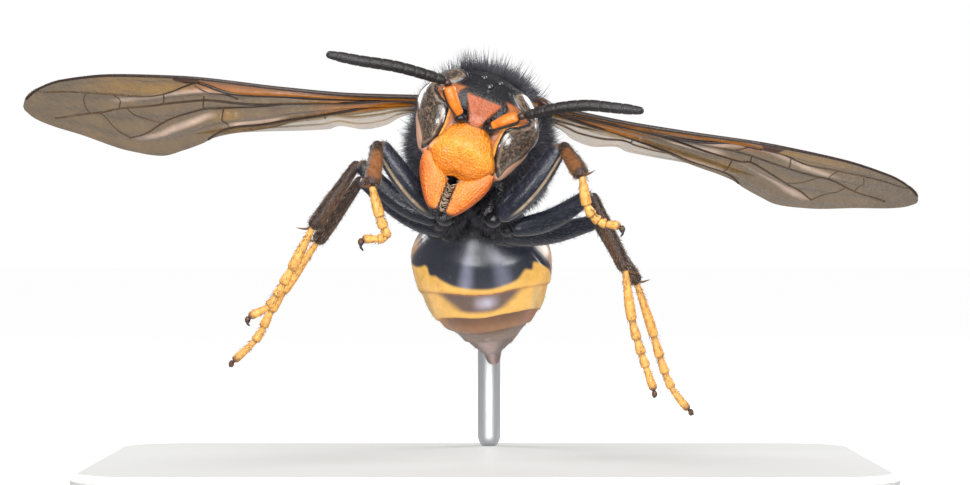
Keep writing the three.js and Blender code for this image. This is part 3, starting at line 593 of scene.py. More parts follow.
def mandible(side):
    rows, columns = BLADE_GRID
    height = np.linspace(MANDIBLE_TIP, MANDIBLE_TOP, rows)[:, None]
    turn = turns(columns)[None, :]
    inner, outer = mandible_inner(height), mandible_outer(height)
    for place, width, reach in TEETH:
        inner = inner - (reach - 0.06) * bump(place, width, height)
    across = np.cos(turn)
    x = (inner + outer) / 2 + across * (outer - inner) / 2
    waves = BLADE_RIDGES * math.pi * across
    ridges = 0.025 * np.cos(waves) * window(-0.9, -0.4, 0.6, 0.95, across)
    deep = mandible_deep(height) * np.sign(np.sin(turn)) * np.abs(np.sin(turn)) ** 0.8
    y = -(MANDIBLE_MIDDLE + deep + ridges * (np.sin(turn) > 0))
    points = np.stack([side * x, y, height + 0 * turn], axis=-1)
    streak = 0.5 + 0.5 * np.cos(waves + 1)
    colours = layered(
        BLADE_ORANGE,
        (BLADE_LIGHT, 0.75 * streak * step(1, -0.4, across)),
        (BLADE_RED, step(0.5, 0.95, across) + 0 * height),
        (BLACK, np.clip(step(0.28, 0.18, x) + step(-3.85, -4.1, height), 0, 1)),
    )
    shape = Shape()
    tube(shape, placed(points), colours)
    for place in RANDOM.uniform(*BRISTLE_HEIGHTS, BRISTLES):
        deep = MANDIBLE_MIDDLE + 0.8 * mandible_deep(place)
        root = np.array([side * (mandible_inner(place) + 0.1), -deep, place])
        way = unit(np.array([-0.8 * side, -0.5, -0.5]) + RANDOM.normal(scale=0.25, size=3))
        line = [placed(root), placed(root + way * BRISTLE_LENGTH)]
        limb(shape, line, [[0, 0.014], [1, 0.005]], HAIR_TAN, sides=4, rings=5)
    return shape


# Antennae
ANTENNAE = {
    "right": {
        "scape": [(-1.05, -11.35, 17.42), (-1.4, -11.55, 18.1), (-1.6, -11.6, 18.78)],
        "flagellum": [(-1.62, -11.62, 18.92), (-3.7, -12, 19.5), (-5.4, -12, 19.78), (-6.8, -12, 20.06)],
    },
    "left": {
        "scape": [(0.24, -11.35, 16.95), (0.9, -11.55, 17.2), (1.5, -11.6, 17.4)],
        "flagellum": [
            (1.66, -11.62, 17.43), (3.2, -12, 17.76), (4.4, -12, 17.86), (5.5, -12, 17.76),
            (6.8, -12, 17.62),
        ],
    },
}
SCAPE_GIRTH = [[0, 0.15], [0.06, 0.21], [0.16, 0.22], [0.5, 0.29], [0.92, 0.31], [1, 0.22]]
SCAPE_ORANGE = rgb(0.62, 0.16, 0.012)
SCAPE_FACING = {"right": 1.1, "left": 2.2}
FLAGELLUM_SEGMENTS = 11
FLAGELLUM_GIRTH = [[0, 0.15], [0.04, 0.2], [0.15, 0.24], [0.5, 0.25], [0.85, 0.23], [1, 0.15]]
FLAGELLUM_BLACK = rgb(0.01, 0.007, 0.007)
FLAGELLUM_TIP = rgb(0.024, 0.02, 0.022)
FLAGELLUM_RING = rgb(0.06, 0.05, 0.05)


def antenna(name):
    scape, flagellum = Shape(), Shape()
    scape_line, flagellum_line = (np.array(ANTENNAE[name][part]) for part in ("scape", "flagellum"))

    def scape_paint(place, turn):
        orange = step(0.2, 0.5, np.cos(turn - SCAPE_FACING[name])) * window(0.04, 0.12, 0.88, 0.97, place)
        return mix(BLACK, SCAPE_ORANGE, orange)

    limb(scape, scape_line, SCAPE_GIRTH, scape_paint, sides=28, rings=70)
    ellipsoid(scape, scape_line[0] + [0, 0.12, -0.06], (0.27, 0.27, 0.2), np.eye(3), BLACK)
    ellipsoid(scape, (scape_line[-1] + flagellum_line[0]) / 2, (0.2, 0.2, 0.17), np.eye(3), DARK_BROWN)

    def swell(place):
        within = (place * FLAGELLUM_SEGMENTS) % 1
        return 0.92 + 0.08 * step(0, 0.22, within) - 0.05 * step(0.9, 1, within)

    def flagellum_paint(place, turn):
        within = (place * FLAGELLUM_SEGMENTS) % 1
        return layered(
            FLAGELLUM_BLACK,
            (FLAGELLUM_TIP, step(0.3, 1, place)),
            (RUST * 0.5, 0.5 * step(-0.2, 0.8, -np.sin(turn)) * step(0.5, 0.1, place)),
            (FLAGELLUM_RING, 0.35 * bump(0.93, 0.07, within)),
        )

    limb(flagellum, flagellum_line, FLAGELLUM_GIRTH, flagellum_paint, sides=24, rings=260, relief=swell)
    return scape, flagellum


head_height, head_angle, head_points, head_paint = head_skin()
skull = Shape()
tube(skull, placed(head_points), head_paint)
make_piece("head_skin", skull, HEAD_CUTICLE, "cuticle_black", "head")
ocelli = Shape()
for x, z, radius in OCELLI:
    depth = head_point(np.array(z), np.arccos((abs(x) / head_half(z)) ** (HEAD_SQUARENESS / 2)))[1]
    ellipsoid(ocelli, placed([x, depth + 0.3 * radius, z]), (radius, radius, radius), HEAD_TURN.T, BLACK)
make_piece("ocelli", ocelli, EYE_SURFACE, "eye")
make_piece("clypeus_plate", clypeus(), FACE_CUTICLE, "cuticle_orange", "clypeus")
for name, side in SIDES.items():
    make_piece(f"{name}_eye_lens", eye(side), EYE_SURFACE, "eye", f"{name}_eye")
    make_piece(f"{name}_mandible_blade", mandible(side), FACE_CUTICLE, "cuticle_orange", f"{name}_mandible")
    scape_shape, flagellum_shape = antenna(name)
    make_piece(f"{name}_scape_limb", scape_shape, CUTICLE, "cuticle_rust", f"{name}_scape")
    make_piece(f"{name}_flagellum_limb", flagellum_shape, LEG_CUTICLE, "cuticle_brown", f"{name}_flagellum")


# Thorax and gaster
BODY_ROLL = math.radians(6)
BODY_UP = np.array([math.sin(BODY_ROLL), 0, math.cos(BODY_ROLL)])
THORAX_GRID = (150, 200)
GASTER_GRID = (300, 220)
COAT_DEPTH = 0.42
LEAST_REACH = 0.02


class Form:
    """A straight form, from rows of a place along it with its half width, rise and drop there."""

    def __init__(self, start, end, table):
        self.start = np.array(start, float)
        self.end = np.array(end, float)
        self.way = unit(self.end - self.start)
        self.side = unit(np.cross(self.way, BODY_UP))
        self.up = np.cross(self.side, self.way)
        table = np.array(table, float)
        self.half, self.rise, self.drop = (through(table[:, [0, column]]) for column in (1, 2, 3))

    def at(self, place, turn, lift):
        """A point at a place along the form and an angle round it, lifted from the surface."""
        tall = np.sin(turn)
        depth = np.where(tall > 0, self.rise(place), self.drop(place))
        across = np.cos(turn) * np.maximum(self.half(place) + lift, LEAST_REACH)
        high = tall * np.maximum(depth + lift, LEAST_REACH)
        centre = self.start + (self.end - self.start) * place[..., None]
        return centre + self.side * across[..., None] + self.up * high[..., None]


THORAX = Form((-0.4, -7.72, 16.85), (-0.25, -0.45, 13.2), [
    [0, 0.9, 1.2, 0.8], [0.08, 1.9, 2.4, 1.2], [0.2, 2.85, 4, 1.6], [0.35, 3.3, 5, 1.8],
    [0.5, 3.3, 5.2, 1.8], [0.65, 2.95, 4.5, 1.5], [0.8, 2.1, 3.1, 1.1], [0.92, 1.1, 1.4, 0.75],
    [1, 0.7, 0.8, 0.6],
])
# Grooves between the plates of the back, as [place at the top, lean down the sides, depth]
THORAX_GROOVES = [(0.2, 0.14, 0.16), (0.56, 0.06, 0.2), (0.66, 0.05, 0.18), (0.73, 0.04, 0.16)]


def thorax_skin():
    place, turn = form_grid(*THORAX_GRID)
    top = np.sin(turn)
    lift = np.full(place.shape, -COAT_DEPTH)
    for at_top, lean, depth in THORAX_GROOVES:
        lift -= depth * bump(at_top + lean * (1 - top) / 2, 0.022, place)
    lift += 0.16 * bump(0.61, 0.05, place) * step(0.3, 0.9, top)
    lift -= 0.07 * bump(0.42, 0.14, place) * bump(0.35, 0.05, np.abs(np.cos(turn))) * (top > 0)
    lift -= 0.16 * bump(0.05, 0.12, np.abs(place - 0.42) * 0.4 + np.abs(top + 0.1))
    colours = mix(BLACK, DARK_BROWN, 0.25 * bump(0.61, 0.06, place))
    return place, top, THORAX.at(place, turn, lift), colours


GASTER = Form((-0.42, -0.15, 13.05), (0.44, 8, 6.1), [
    [0, 0.45, 0.45, 0.4], [0.06, 1.45, 1.3, 0.9], [0.14, 2.8, 2.5, 1.8], [0.26, 3.4, 3, 2.5],
    [0.45, 3.05, 2.9, 2.8], [0.65, 1.98, 2.1, 1.75], [0.78, 1.22, 1.4, 1.2], [0.9, 0.57, 0.62, 0.55],
    [0.96, 0.44, 0.45, 0.42], [1, 0.16, 0.16, 0.16],
])
# Rear edges of the rings, each as [degrees round from the insect's left over its back, place]
GASTER_EDGES = [
    through([[0, 0.12], [90, 0.15], [180, 0.12], [270, 0.045], [360, 0.12]]),
    through([
        [0, 0.38], [40, 0.46], [90, 0.47], [180, 0.47], [195, 0.45], [215, 0.36], [239, 0.285],
        [259, 0.251], [288, 0.238], [305, 0.232], [331, 0.267], [343, 0.307], [360, 0.38],
    ]),
    through([
        [0, 0.6], [90, 0.65], [180, 0.65], [200, 0.61], [228, 0.497], [242, 0.423],
        [261, 0.379], [279, 0.367], [296, 0.355], [315, 0.371], [334, 0.429], [360, 0.6],
    ]),
    through([
        [0, 0.74], [90, 0.79], [180, 0.78], [220, 0.62], [235, 0.54], [248, 0.503],
        [269, 0.467], [283, 0.455], [297, 0.449], [320, 0.48], [340, 0.58], [360, 0.74],
    ]),
    through([
        [0, 0.88], [90, 0.9], [180, 0.88], [222, 0.76], [250, 0.68], [272, 0.647], [300, 0.621],
        [315, 0.661], [340, 0.78], [360, 0.88],
    ]),
]
# Where the dark of the second ring gives way to yellow on the underside, in the same way
DARK_EDGE = through([
    [180, 0.27], [200, 0.25], [215, 0.216], [222, 0.19], [244, 0.208], [258, 0.215], [284, 0.214],
    [297, 0.206], [311, 0.196], [325, 0.172], [338, 0.168], [349, 0.184], [360, 0.22],
])
GASTER_LAP = 0.1
SEAM_DEPTH = 0.05
RING_BROWN = rgb(0.21, 0.098, 0.045)
# Painted highlight, bluish, on the underside of the second ring
PAINTED_HIGHLIGHT_BLUE = rgb(0.3, 0.31, 0.42)
PATCH_BROWN = rgb(0.13, 0.08, 0.065)
# Painted highlight, lilac, on the underside of the third ring
PAINTED_HIGHLIGHT_LILAC = rgb(0.55, 0.5, 0.6)
FLANK_OCHRE = rgb(0.5, 0.35, 0.13)
TIP_BROWN = rgb(0.13, 0.07, 0.055)
TIP_PINK = rgb(0.42, 0.27, 0.25)


def gaster_skin():
    place, turn = form_grid(*GASTER_GRID)
    degrees = np.degrees(turn)
    top = np.sin(turn)
    edges = [edge(degrees) for edge in GASTER_EDGES]
    starts = [np.full(place.shape, -0.05)] + edges
    ends = edges + [np.full(place.shape, 1.6)]
    lift, within = np.zeros(place.shape), np.zeros(place.shape)
    ring = np.zeros(place.shape, int)
    for i, (start, end) in enumerate(zip(starts, ends)):
        inside = (place >= start) & (place < end)
        share = (place - start) / (end - start)
        ring[inside] = i
        within[inside] = share[inside]
        lift[inside] = (GASTER_LAP * (share - 1) - 0.05 * bump(1, 0.05, share))[inside]
    lift -= SEAM_DEPTH * (np.abs(top + 0.2) < 0.035) * window(0.1, 0.2, 0.6, 0.8, place)

    below = step(0.1, -0.35, top)
    spots = 0.016 * bump(231, 7, degrees) + 0.016 * bump(332, 7, degrees)
    band = (edges[1] - 0.045) * (1 - below) + (DARK_EDGE(degrees) + spots) * below
    # Where the painted bluish highlight streaks lie on the second ring's underside
    streak = bump(266, 10, degrees) + 0.7 * bump(300, 13, degrees)
    side_tan = bump(186, 16, degrees) + bump(8, 16, degrees)
    dark_half = 38 - 30 * within
    third_dark = step(7, -7, np.abs(degrees - 278) - dark_half) * step(0.85, 0.6, within)
    corner = within + 0.3 * np.abs(np.cos(turn))
    paints = {
        1: layered(
            BLUE_BLACK * 1.5,
            # Painted highlight streaks on the underside
            (PAINTED_HIGHLIGHT_BLUE, 0.65 * streak * step(0.05, 0.1, place) * below),
            (YELLOW, step(-0.008, 0.008, place - band)),
            (ORANGE * 0.8, 0.6 * bump(1, 0.12, within) * step(0, 0.02, place - band)),
            (TAN, np.clip(side_tan * step(0.12, 0.2, place), 0, 1)),
        ),
        2: layered(
            YELLOW,
            (PATCH_BROWN, third_dark),
            # Painted highlight on the third ring's underside
            (PAINTED_HIGHLIGHT_LILAC, 0.8 * bump(283, 14, degrees) * bump(0.35, 0.4, within)),
            (ORANGE * 0.7, 0.6 * (bump(1, 0.15, within) + bump(0, 0.1, within))),
            (DARK_BROWN, step(0.25, 0.5, top) * step(0.9, 0.8, within)),
            (FLANK_OCHRE, 0.6 * (bump(222, 8, degrees) + bump(331, 8, degrees))),
        ),
        3: layered(
            RING_BROWN * 0.7,
            (RING_BROWN * 1.3, step(0.1, 0.9, within)),
            (ORANGE * 0.6, bump(232, 18, degrees) * below),
            (RUST, bump(335, 25, degrees) * below),
            (ORANGE, step(0.0, 0.4, top) * step(0.2, 0.35, corner)),
        ),
        4: mix(RING_BROWN * 0.65, RING_BROWN * 1.2, step(0, 0.8, within)),
        5: mix(TIP_BROWN, TIP_PINK, bump(280, 30, degrees)),
    }
    points = GASTER.at(place, turn, lift - 0.02)
    colours = np.broadcast_to(BLACK, points.shape).copy()
    for i, paint in paints.items():
        colours[ring == i] = paint[ring == i]
    return place, points, colours


# The waist and the neck, each as its line and its girth
WAIST = ([(-0.28, -0.9, 13.45), (-0.36, 0.1, 12.9)], [[0, 0.62], [0.5, 0.5], [1, 0.6]])
NECK = ([(-0.45, -8.9, 16.9), (-0.42, -7.2, 16.6)], [[0, 0.8], [1, 0.9]])

thorax_place, thorax_top, thorax_points, thorax_paint = thorax_skin()
gaster_place, gaster_points, gaster_paint = gaster_skin()
trunk = Shape()
tube(trunk, thorax_points, thorax_paint)
for neck in (WAIST, NECK):
    limb(trunk, *neck, BLACK, rings=20)
make_piece("thorax_skin", trunk, CUTICLE, "cuticle_black", "thorax", "propodeum")
rear = Shape()
tube(rear, gaster_points, gaster_paint)
GASTER_SURFACE = painted("gaster_surface", 0.3, mottle=0.12, mottle_size=0.5, grain=0.08, grain_size=0.07,
                         coat_weight=0.35, coat_roughness=0.2)
make_piece("gaster_skin", rear, GASTER_SURFACE, "cuticle_yellow", *[f"gaster_{i}" for i in range(1, 7)])


# Legs, each as its joints from hip to ankle, its toes, the way that its claws point, and its bulk
LEGS = {
    "right_fore": ([
        (-1.45, -6.9, 14.9), (-1.45, -8.2, 12.9), (-2.05, -8.6, 13.25), (-4.65, -9.6, 16.35),
        (-4.9, -11.2, 14.4),
    ], [(-4.5, -10.9, 13), (-4.3, -10.7, 12.25), (-5.3, -10.9, 12.15)], (-0.1, -0.1, -1), 1),
    "left_fore": ([
        (0.35, -6.9, 14.8), (0.05, -8.2, 12.9), (0.65, -8.6, 13.1), (3.35, -9.6, 16.25), (4.2, -11.4, 14.85),
    ], [(4.45, -11.1, 13.45), (4.95, -10.9, 12.9), (5.85, -11, 12.7)], (0.2, -0.1, -1), 1),
    "right_mid": ([
        (-1.6, -4.9, 14.3), (-1.65, -5.3, 12.65), (-2.2, -5.2, 13), (-5.7, -4.6, 15.6), (-7.8, -4.4, 12.6),
    ], [(-8.95, -4.2, 10.4), (-9.75, -4.1, 9.15), (-10.65, -4.1, 8.65)], (-0.1, 0, -1), 0.9),
    "left_mid": ([
        (0.6, -4.9, 14.2), (0.67, -5.3, 12.5), (1.2, -5.1, 12.6), (4.85, -3.2, 14.2), (6.4, -3, 10.7),
    ], [(6.7, -2.8, 8.4), (7.4, -2.6, 6.1), (7.7, -2.6, 5.25)], (0, 0, -1), 0.9),
    "right_hind": ([
        (-1.4, -2.7, 13.8), (-1.4, -2.9, 12.2), (-1.9, -2.5, 12.5), (-5.7, -0.5, 14.95), (-7.9, 2.4, 12),
    ], [(-10.1, 2.8, 8.7), (-10.7, 2.9, 7.55), (-11.85, 2.9, 6.4)], (-0.6, 0, -0.8), 0.95),
    "left_hind": ([
        (0.4, -2.7, 13.7), (0.35, -2.9, 12.15), (0.85, -2.5, 12.3), (5.15, -0.4, 12.95), (7.15, 2.6, 10.1),
    ], [(7.7, 2.8, 8.4), (8.75, 3, 5.25), (9.6, 3, 4.1)], (0.75, 0, -0.65), 0.95),
}
COXA_GIRTH = [[0, 0.62], [0.5, 0.64], [0.85, 0.5], [1, 0.34]]
TROCHANTER_GIRTH = [[0, 0.26], [0.25, 0.34], [0.75, 0.36], [1, 0.3]]
FEMUR_GIRTH = [[0, 0.3], [0.05, 0.38], [0.3, 0.53], [0.6, 0.5], [0.88, 0.4], [0.97, 0.36], [1, 0.3]]
TIBIA_GIRTH = [[0, 0.22], [0.05, 0.25], [0.3, 0.3], [0.75, 0.37], [0.95, 0.36], [1, 0.3]]
FEMUR_BOW = 0.3
FEMUR_STRIPE = rgb(0.44, 0.33, 0.21)
SHIN_ORANGE = rgb(0.27, 0.1, 0.03)
FOOT_YELLOW = rgb(0.68, 0.35, 0.085)
FOOT_ORANGE = rgb(0.54, 0.23, 0.05)
TARSUS_HALF = 0.235
TARSUS_GIRTH = [[0, 0.9], [0.3, 1], [0.8, 0.92], [1, 0.8]]
TARSUS_NECK = 0.16 / TARSUS_HALF
TARSOMERES = [0, 0.42, 0.57, 0.69, 0.8, 1]
SHIN_SPINES = 90
FOOT_SPINES = 110
CLAW_LENGTH = 0.66


def spike(shape, root, way, bend, length, radius, paint):
    """A thin curved spine from a point, along a way, bending towards another."""
    middle = root + (way * 0.55 - bend * 0.08) * length
    tip = root + (way * 0.92 + bend * 0.25) * length
    girth = [[0, radius], [0.5, radius * 0.75], [1, radius * 0.15]]
    limb(shape, [root, middle, tip], girth, paint, sides=8, rings=14)


def spines(shape, path, side, depth, half, count, length, radius, paint, start=0.05, end=0.97):
    """Fine spines that stand along a limb and lean towards its end."""
    for _ in range(count):
        row = int(RANDOM.uniform(start, end) * (len(path) - 1))
        turn = RANDOM.uniform(0, 2 * math.pi)
        outward_way = side[row] * math.cos(turn) + depth[row] * math.sin(turn)
        along = unit(path[min(row + 1, len(path) - 1)] - path[row - 1])
        root = path[row] + outward_way * half[row] * 0.9
        way = unit(outward_way + along * RANDOM.uniform(0.9, 1.5))
        reach = length * RANDOM.uniform(0.6, 1.2)
        tip = root + way * reach + along * reach * 0.12
        line = [root, root + way * reach * 0.5, tip]
        limb(shape, line, [[0, radius], [1, radius * 0.3]], paint, sides=4, rings=5)


def leg_joints(name):
    """A leg's joints from the hip to the ankle, with the bulge of its femur before the knee."""
    hip, coxa_end, trochanter_end, knee, ankle = (np.array(joint) for joint in LEGS[name][0])
    bulge = trochanter_end * 0.55 + knee * 0.45 + unit(ankle - knee) * FEMUR_BOW
    return hip, coxa_end, trochanter_end, bulge, knee, ankle


def tarsus_relief(place):
    swell = np.zeros(place.shape)
    for begin, end in zip(TARSOMERES[:-1], TARSOMERES[1:]):
        within = (place - begin) / (end - begin)
        inside = (within >= 0) & (within <= 1)
        swell = np.where(inside, window(0, 0.8, 0.94, 1, within), swell)
    return TARSUS_NECK + (1 - TARSUS_NECK) * swell


def tarsus_paint(place, turn):
    joints = sum(bump(joint, 0.02, place) for joint in TARSOMERES[1:])
    return layered(
        FOOT_YELLOW,
        (FOOT_ORANGE, 0.7 * np.cos(turn) ** 2),
        (BROWN, 0.55 * np.clip(joints, 0, 1)),
        (BROWN, step(0.93, 1, place)),
    )


def leg(name):
    _, toes, claws, bulk = LEGS[name]
    hip, coxa_end, trochanter_end, bulge, knee, ankle = leg_joints(name)
    shin = unit(ankle - knee)
    thigh = unit(knee - trochanter_end)
    outward_way = unit(thigh - (thigh @ shin) * shin)
    sideways = np.cross(thigh, FRONT)
    facing_shin = math.atan2(np.cross(sideways, thigh) @ shin, sideways @ shin)
    patch_share = 0.8 if "fore" in name else 0.2

    def femur_paint(place, turn):
        under = step(0.98, 0.996, np.cos(turn - facing_shin)) * window(0.1, 0.3, 0.85, 1, place)
        return layered(BLUE_BLACK, (TAN * 0.4, step(0.93, 1, place)), (FEMUR_STRIPE, 0.85 * under))

    def tibia_paint(place, turn):
        patch = window(0.2, 0.35, 0.8, 0.95, place) * step(-0.2, 0.6, np.cos(turn - facing_shin))
        return layered(BLACK, (DARK_BROWN, 0.7), (SHIN_ORANGE, patch_share * patch))

    base, upper, lower, foot = (Shape() for _ in range(4))
    limb(base, [hip, coxa_end], scaled(COXA_GIRTH, bulk), BLACK, rings=40)
    limb(base, [coxa_end, trochanter_end], scaled(TROCHANTER_GIRTH, bulk), BLACK, rings=30)
    femur = [trochanter_end - thigh * 0.12, bulge, knee]
    limb(upper, femur, scaled(FEMUR_GIRTH, bulk), femur_paint, sides=64, rings=90, flat=0.9)
    tibia = [knee - shin * 0.05, ankle]
    shin_frame = limb(lower, tibia, scaled(TIBIA_GIRTH, bulk), tibia_paint, sides=26, rings=70, flat=0.85)
    spines(lower, *shin_frame, SHIN_SPINES, 0.2, 0.012, HAIR_BLACK)
    for spread in (0.35, 0.7):
        spur_way = unit(shin + outward_way * spread)
        spike(lower, ankle - shin * 0.25, spur_way, outward_way, 1.15 * spread, 0.07, BROWN)

    toes = [ankle - shin * 0.12, *(np.array(point) for point in toes)]
    path, side, depth, half = limb(
        foot, toes, scaled(TARSUS_GIRTH, TARSUS_HALF), tarsus_paint,
        rings=160, flat=0.85, relief=tarsus_relief,
    )
    spines(foot, path, side, depth, half * 0.8, FOOT_SPINES, 0.17, 0.013, BROWN, 0.05, 0.95)
    toe_end = toes[-1]
    toe_way = unit(toe_end - toes[-2])
    claw_way = unit(unit(np.array(claws, float)) + toe_way * 0.3)
    for turn in (-1, 1):
        way = unit(claw_way + FRONT * turn * 0.3)
        spike(foot, toe_end - toe_way * 0.12, way, -toe_way, CLAW_LENGTH, 0.085, BLACK)
    ellipsoid(foot, toe_end + claw_way * 0.14, (0.13, 0.13, 0.17), np.eye(3), BROWN * 0.7)

    make_piece(f"{name}_hip_skin", base, CUTICLE, "cuticle_black", f"{name}_coxa")
    make_piece(f"{name}_thigh_skin", upper, CUTICLE, "cuticle_black", f"{name}_femur")
    make_piece(f"{name}_shin_skin", lower, LEG_CUTICLE, "cuticle_brown", f"{name}_tibia")
    make_piece(f"{name}_foot_skin", foot, LEG_CUTICLE, "cuticle_yellow", f"{name}_tarsus")


for name in LEGS:
    leg(name)


# Wings: a clear membrane that is pleated along its veins, and the veins as ridges on both faces
FOREWING = {
    "lead": through([
        [0, 0.28], [0.18, 0.5], [0.33, 0.93], [0.59, 1.81], [0.76, 2], [0.88, 1.72], [0.95, 1.22],
        [0.985, 0.7], [1, 0.12],
    ]),
    "trail": through([
        [0, -0.25], [0.18, -0.6], [0.33, -1.1], [0.42, -1.6], [0.5, -1.85], [0.54, -2.05], [0.58, -2.45],
        [0.63, -2.85], [0.69, -3.2], [0.77, -2.85], [0.88, -1.75], [0.95, -1.1], [0.985, -0.6], [1, -0.12],
    ]),
    # Veins as [radius, [span, share of the chord], ...], from the leading edge back
    "veins": [
        [0.11, (-0.03, 0.02), (0.2, 0.012), (0.45, 0.01), (0.6, 0.01), (0.8, 0.012), (0.93, 0.02),
         (0.985, 0.1)],
        [0.11, (-0.03, 0.38), (0.27, 0.41), (0.42, 0.32), (0.48, 0.24), (0.545, 0.13)],
        [0.07, (0.545, 0.13), (0.67, 0.28), (0.75, 0.27), (0.82, 0.25), (0.92, 0.19), (0.955, 0.05)],
        [0.08, (-0.03, 0.5), (0.1, 0.45), (0.26, 0.56), (0.36, 0.52), (0.46, 0.48), (0.555, 0.43),
         (0.67, 0.42), (0.76, 0.46), (0.81, 0.54), (0.93, 0.77)],
        [0.07, (0.26, 0.55), (0.39, 0.58), (0.52, 0.61), (0.555, 0.57), (0.63, 0.61), (0.67, 0.65),
         (0.71, 0.73), (0.76, 0.84)],
        [0.08, (-0.03, 0.75), (0.1, 0.86), (0.27, 0.97), (0.39, 0.93), (0.5, 0.92), (0.56, 0.99)],
        [0.05, (0.505, 0.61), (0.512, 0.78), (0.5, 0.92)],
        [0.055, (0.46, 0.43), (0.5, 0.34), (0.555, 0.17)],
        [0.05, (0.545, 0.39), (0.553, 0.57)],
        [0.05, (0.635, 0.24), (0.65, 0.41)],
        [0.05, (0.765, 0.27), (0.755, 0.36), (0.762, 0.46)],
        [0.05, (0.83, 0.245), (0.845, 0.4), (0.84, 0.6)],
        [0.05, (0.67, 0.65), (0.72, 0.55), (0.745, 0.45)],
        [0.05, (0.76, 0.84), (0.79, 0.72), (0.815, 0.55)],
    ],
    "stigma": (0.535, 0.6),
}
HINDWING = {
    "lead": through([[0, 0.35], [0.3, 0.5], [0.6, 0.55], [0.85, 0.4], [1, 0.1]]),
    "trail": through([
        [0, -0.3], [0.1, -0.6], [0.2, -1.3], [0.32, -1.75], [0.4, -1.25], [0.48, -1.75], [0.6, -1.9],
        [0.75, -1.6], [0.9, -0.9], [1, -0.1],
    ]),
    "veins": [
        [0.08, (-0.03, 0.03), (0.4, 0.02), (0.8, 0.02), (0.95, 0.03)],
        [0.06, (0, 0.4), (0.3, 0.3), (0.6, 0.32), (0.92, 0.4)],
        [0.06, (0, 0.7), (0.3, 0.6), (0.6, 0.66), (0.8, 0.8)],
        [0.045, (0.42, 0.31), (0.44, 0.62)],
    ],
    "stigma": None,
}
# How each wing is held: its root and tip, the way of its chord, and the twist of its root in degrees
WINGS = {
    ("right", "forewing"): ((-2.7, -5, 18.32), (-21.25, -0.5, 18.2), (0, 0.73, -0.68), 0),
    ("right", "hindwing"): ((-3, -3.9, 18.1), (-13.4, 0.6, 17.05), (0, 1, -0.08), 34),
    ("left", "forewing"): ((2.8, -5, 17.95), (19.9, -0.5, 13.85), (0, 0.88, -0.47), 0),
    ("left", "hindwing"): ((2.7, -3.8, 17.65), (12.5, 0.9, 15.1), (0, 1, -0.08), 34),
}
WING_FORMS = {"forewing": FOREWING, "hindwing": HINDWING}
WING_CAMBER = 0.25
WING_START = -0.045
SPAN_CELLS = 190
CHORD_CELLS = 90
MAIN_VEIN = 0.1
MEMBRANE = 0.03
PLEAT = 0.1
PLEATS = 4
STIGMA_HALF = 0.07
STIGMA_WIDTH = 0.12
STIGMA_GRID = (40, 14)
TEGULA_HALVES = (0.5, 0.62, 0.24)
VEIN_UP = [0.05, 0.6, 1.0]
VEIN_RINGS = 60
VEIN_SIDES = 10
MEMBRANE_AMBER = rgb(0.4, 0.13, 0.002)
MEMBRANE_GOLD = rgb(0.27, 0.135, 0.01)
MEMBRANE_SMOKE = rgb(0.155, 0.09, 0.03)
MEMBRANE_PALE = rgb(0.5, 0.36, 0.2)
# Colour of the painted highlights on the wing's folds
MEMBRANE_PAINTED_HIGHLIGHT = rgb(0.72, 0.52, 0.4)
VEIN_BROWN = rgb(0.03, 0.017, 0.012)
VEIN_TAN = rgb(0.13, 0.08, 0.045)
STIGMA_BROWN = rgb(0.06, 0.018, 0.01)
# Painted highlights: pale streaks on the folds beside the veins, each a share of the chord along the span
FOREWING_PAINTED_HIGHLIGHTS = [
    [[0.3, 0.4], [0.42, 0.35], [0.55, 0.24], [0.62, 0.27], [0.76, 0.36]],
    [[0.33, 0.62], [0.42, 0.57], [0.47, 0.56]],
    [[0.54, 0.68], [0.64, 0.72], [0.74, 0.82]],
    [[0.36, 0.9], [0.43, 0.88], [0.5, 0.88]],
]
MEMBRANES = {
    kind: painted(f"{kind}_membrane", 0.3, mottle=0.18, mottle_size=0.9, grain=0.25, grain_size=0.3,
                  alpha=alpha, coat_weight=0.2, coat_roughness=0.1, specular_ior_level=0.3)
    for kind, alpha in (("forewing", 0.7), ("hindwing", 0.4))
}


def turned(vectors, axis, angle):
    """Vectors turned about an axis by an angle for each."""
    angle = np.asarray(angle)[..., None]
    along = np.sum(vectors * axis, axis=-1, keepdims=True)
    cos, sin = np.cos(angle), np.sin(angle)
    return vectors * cos + np.cross(axis, vectors) * sin + axis * along * (1 - cos)


def wing_place(form, hold, span, share, lift=0.0):
    """A point of a wing at a share of its span and of its chord, lifted off its middle surface."""
    root, tip, level = (np.array(part, float) for part in hold[:3])
    way = unit(tip - root)
    level = unit(level - (level @ way) * way)
    handed = np.sign(way[0])
    span, share = np.broadcast_arrays(np.asarray(span, float), np.asarray(share, float))
    twist = -handed * np.radians(hold[3] * (1 - np.clip(span, 0, 1)) ** 2)
    chord = turned(np.broadcast_to(level, span.shape + (3,)), way, twist)
    normal = np.cross(way, chord)
    lead, trail = form["lead"](span), form["trail"](span)
    bow = handed * WING_CAMBER * np.sin(math.pi * share) * np.sin(math.pi * np.clip(span, 0, 1))
    fold = PLEAT * np.cos(2 * math.pi * PLEATS * share) * step(0, 0.12, share) * step(1, 0.85, share)
    fold = fold * step(1.05, 0.55, span)
    return (
        root + (tip - root) * span[..., None]
        - chord * (lead + (trail - lead) * share)[..., None]
        + normal * (bow + fold + lift)[..., None]
    )


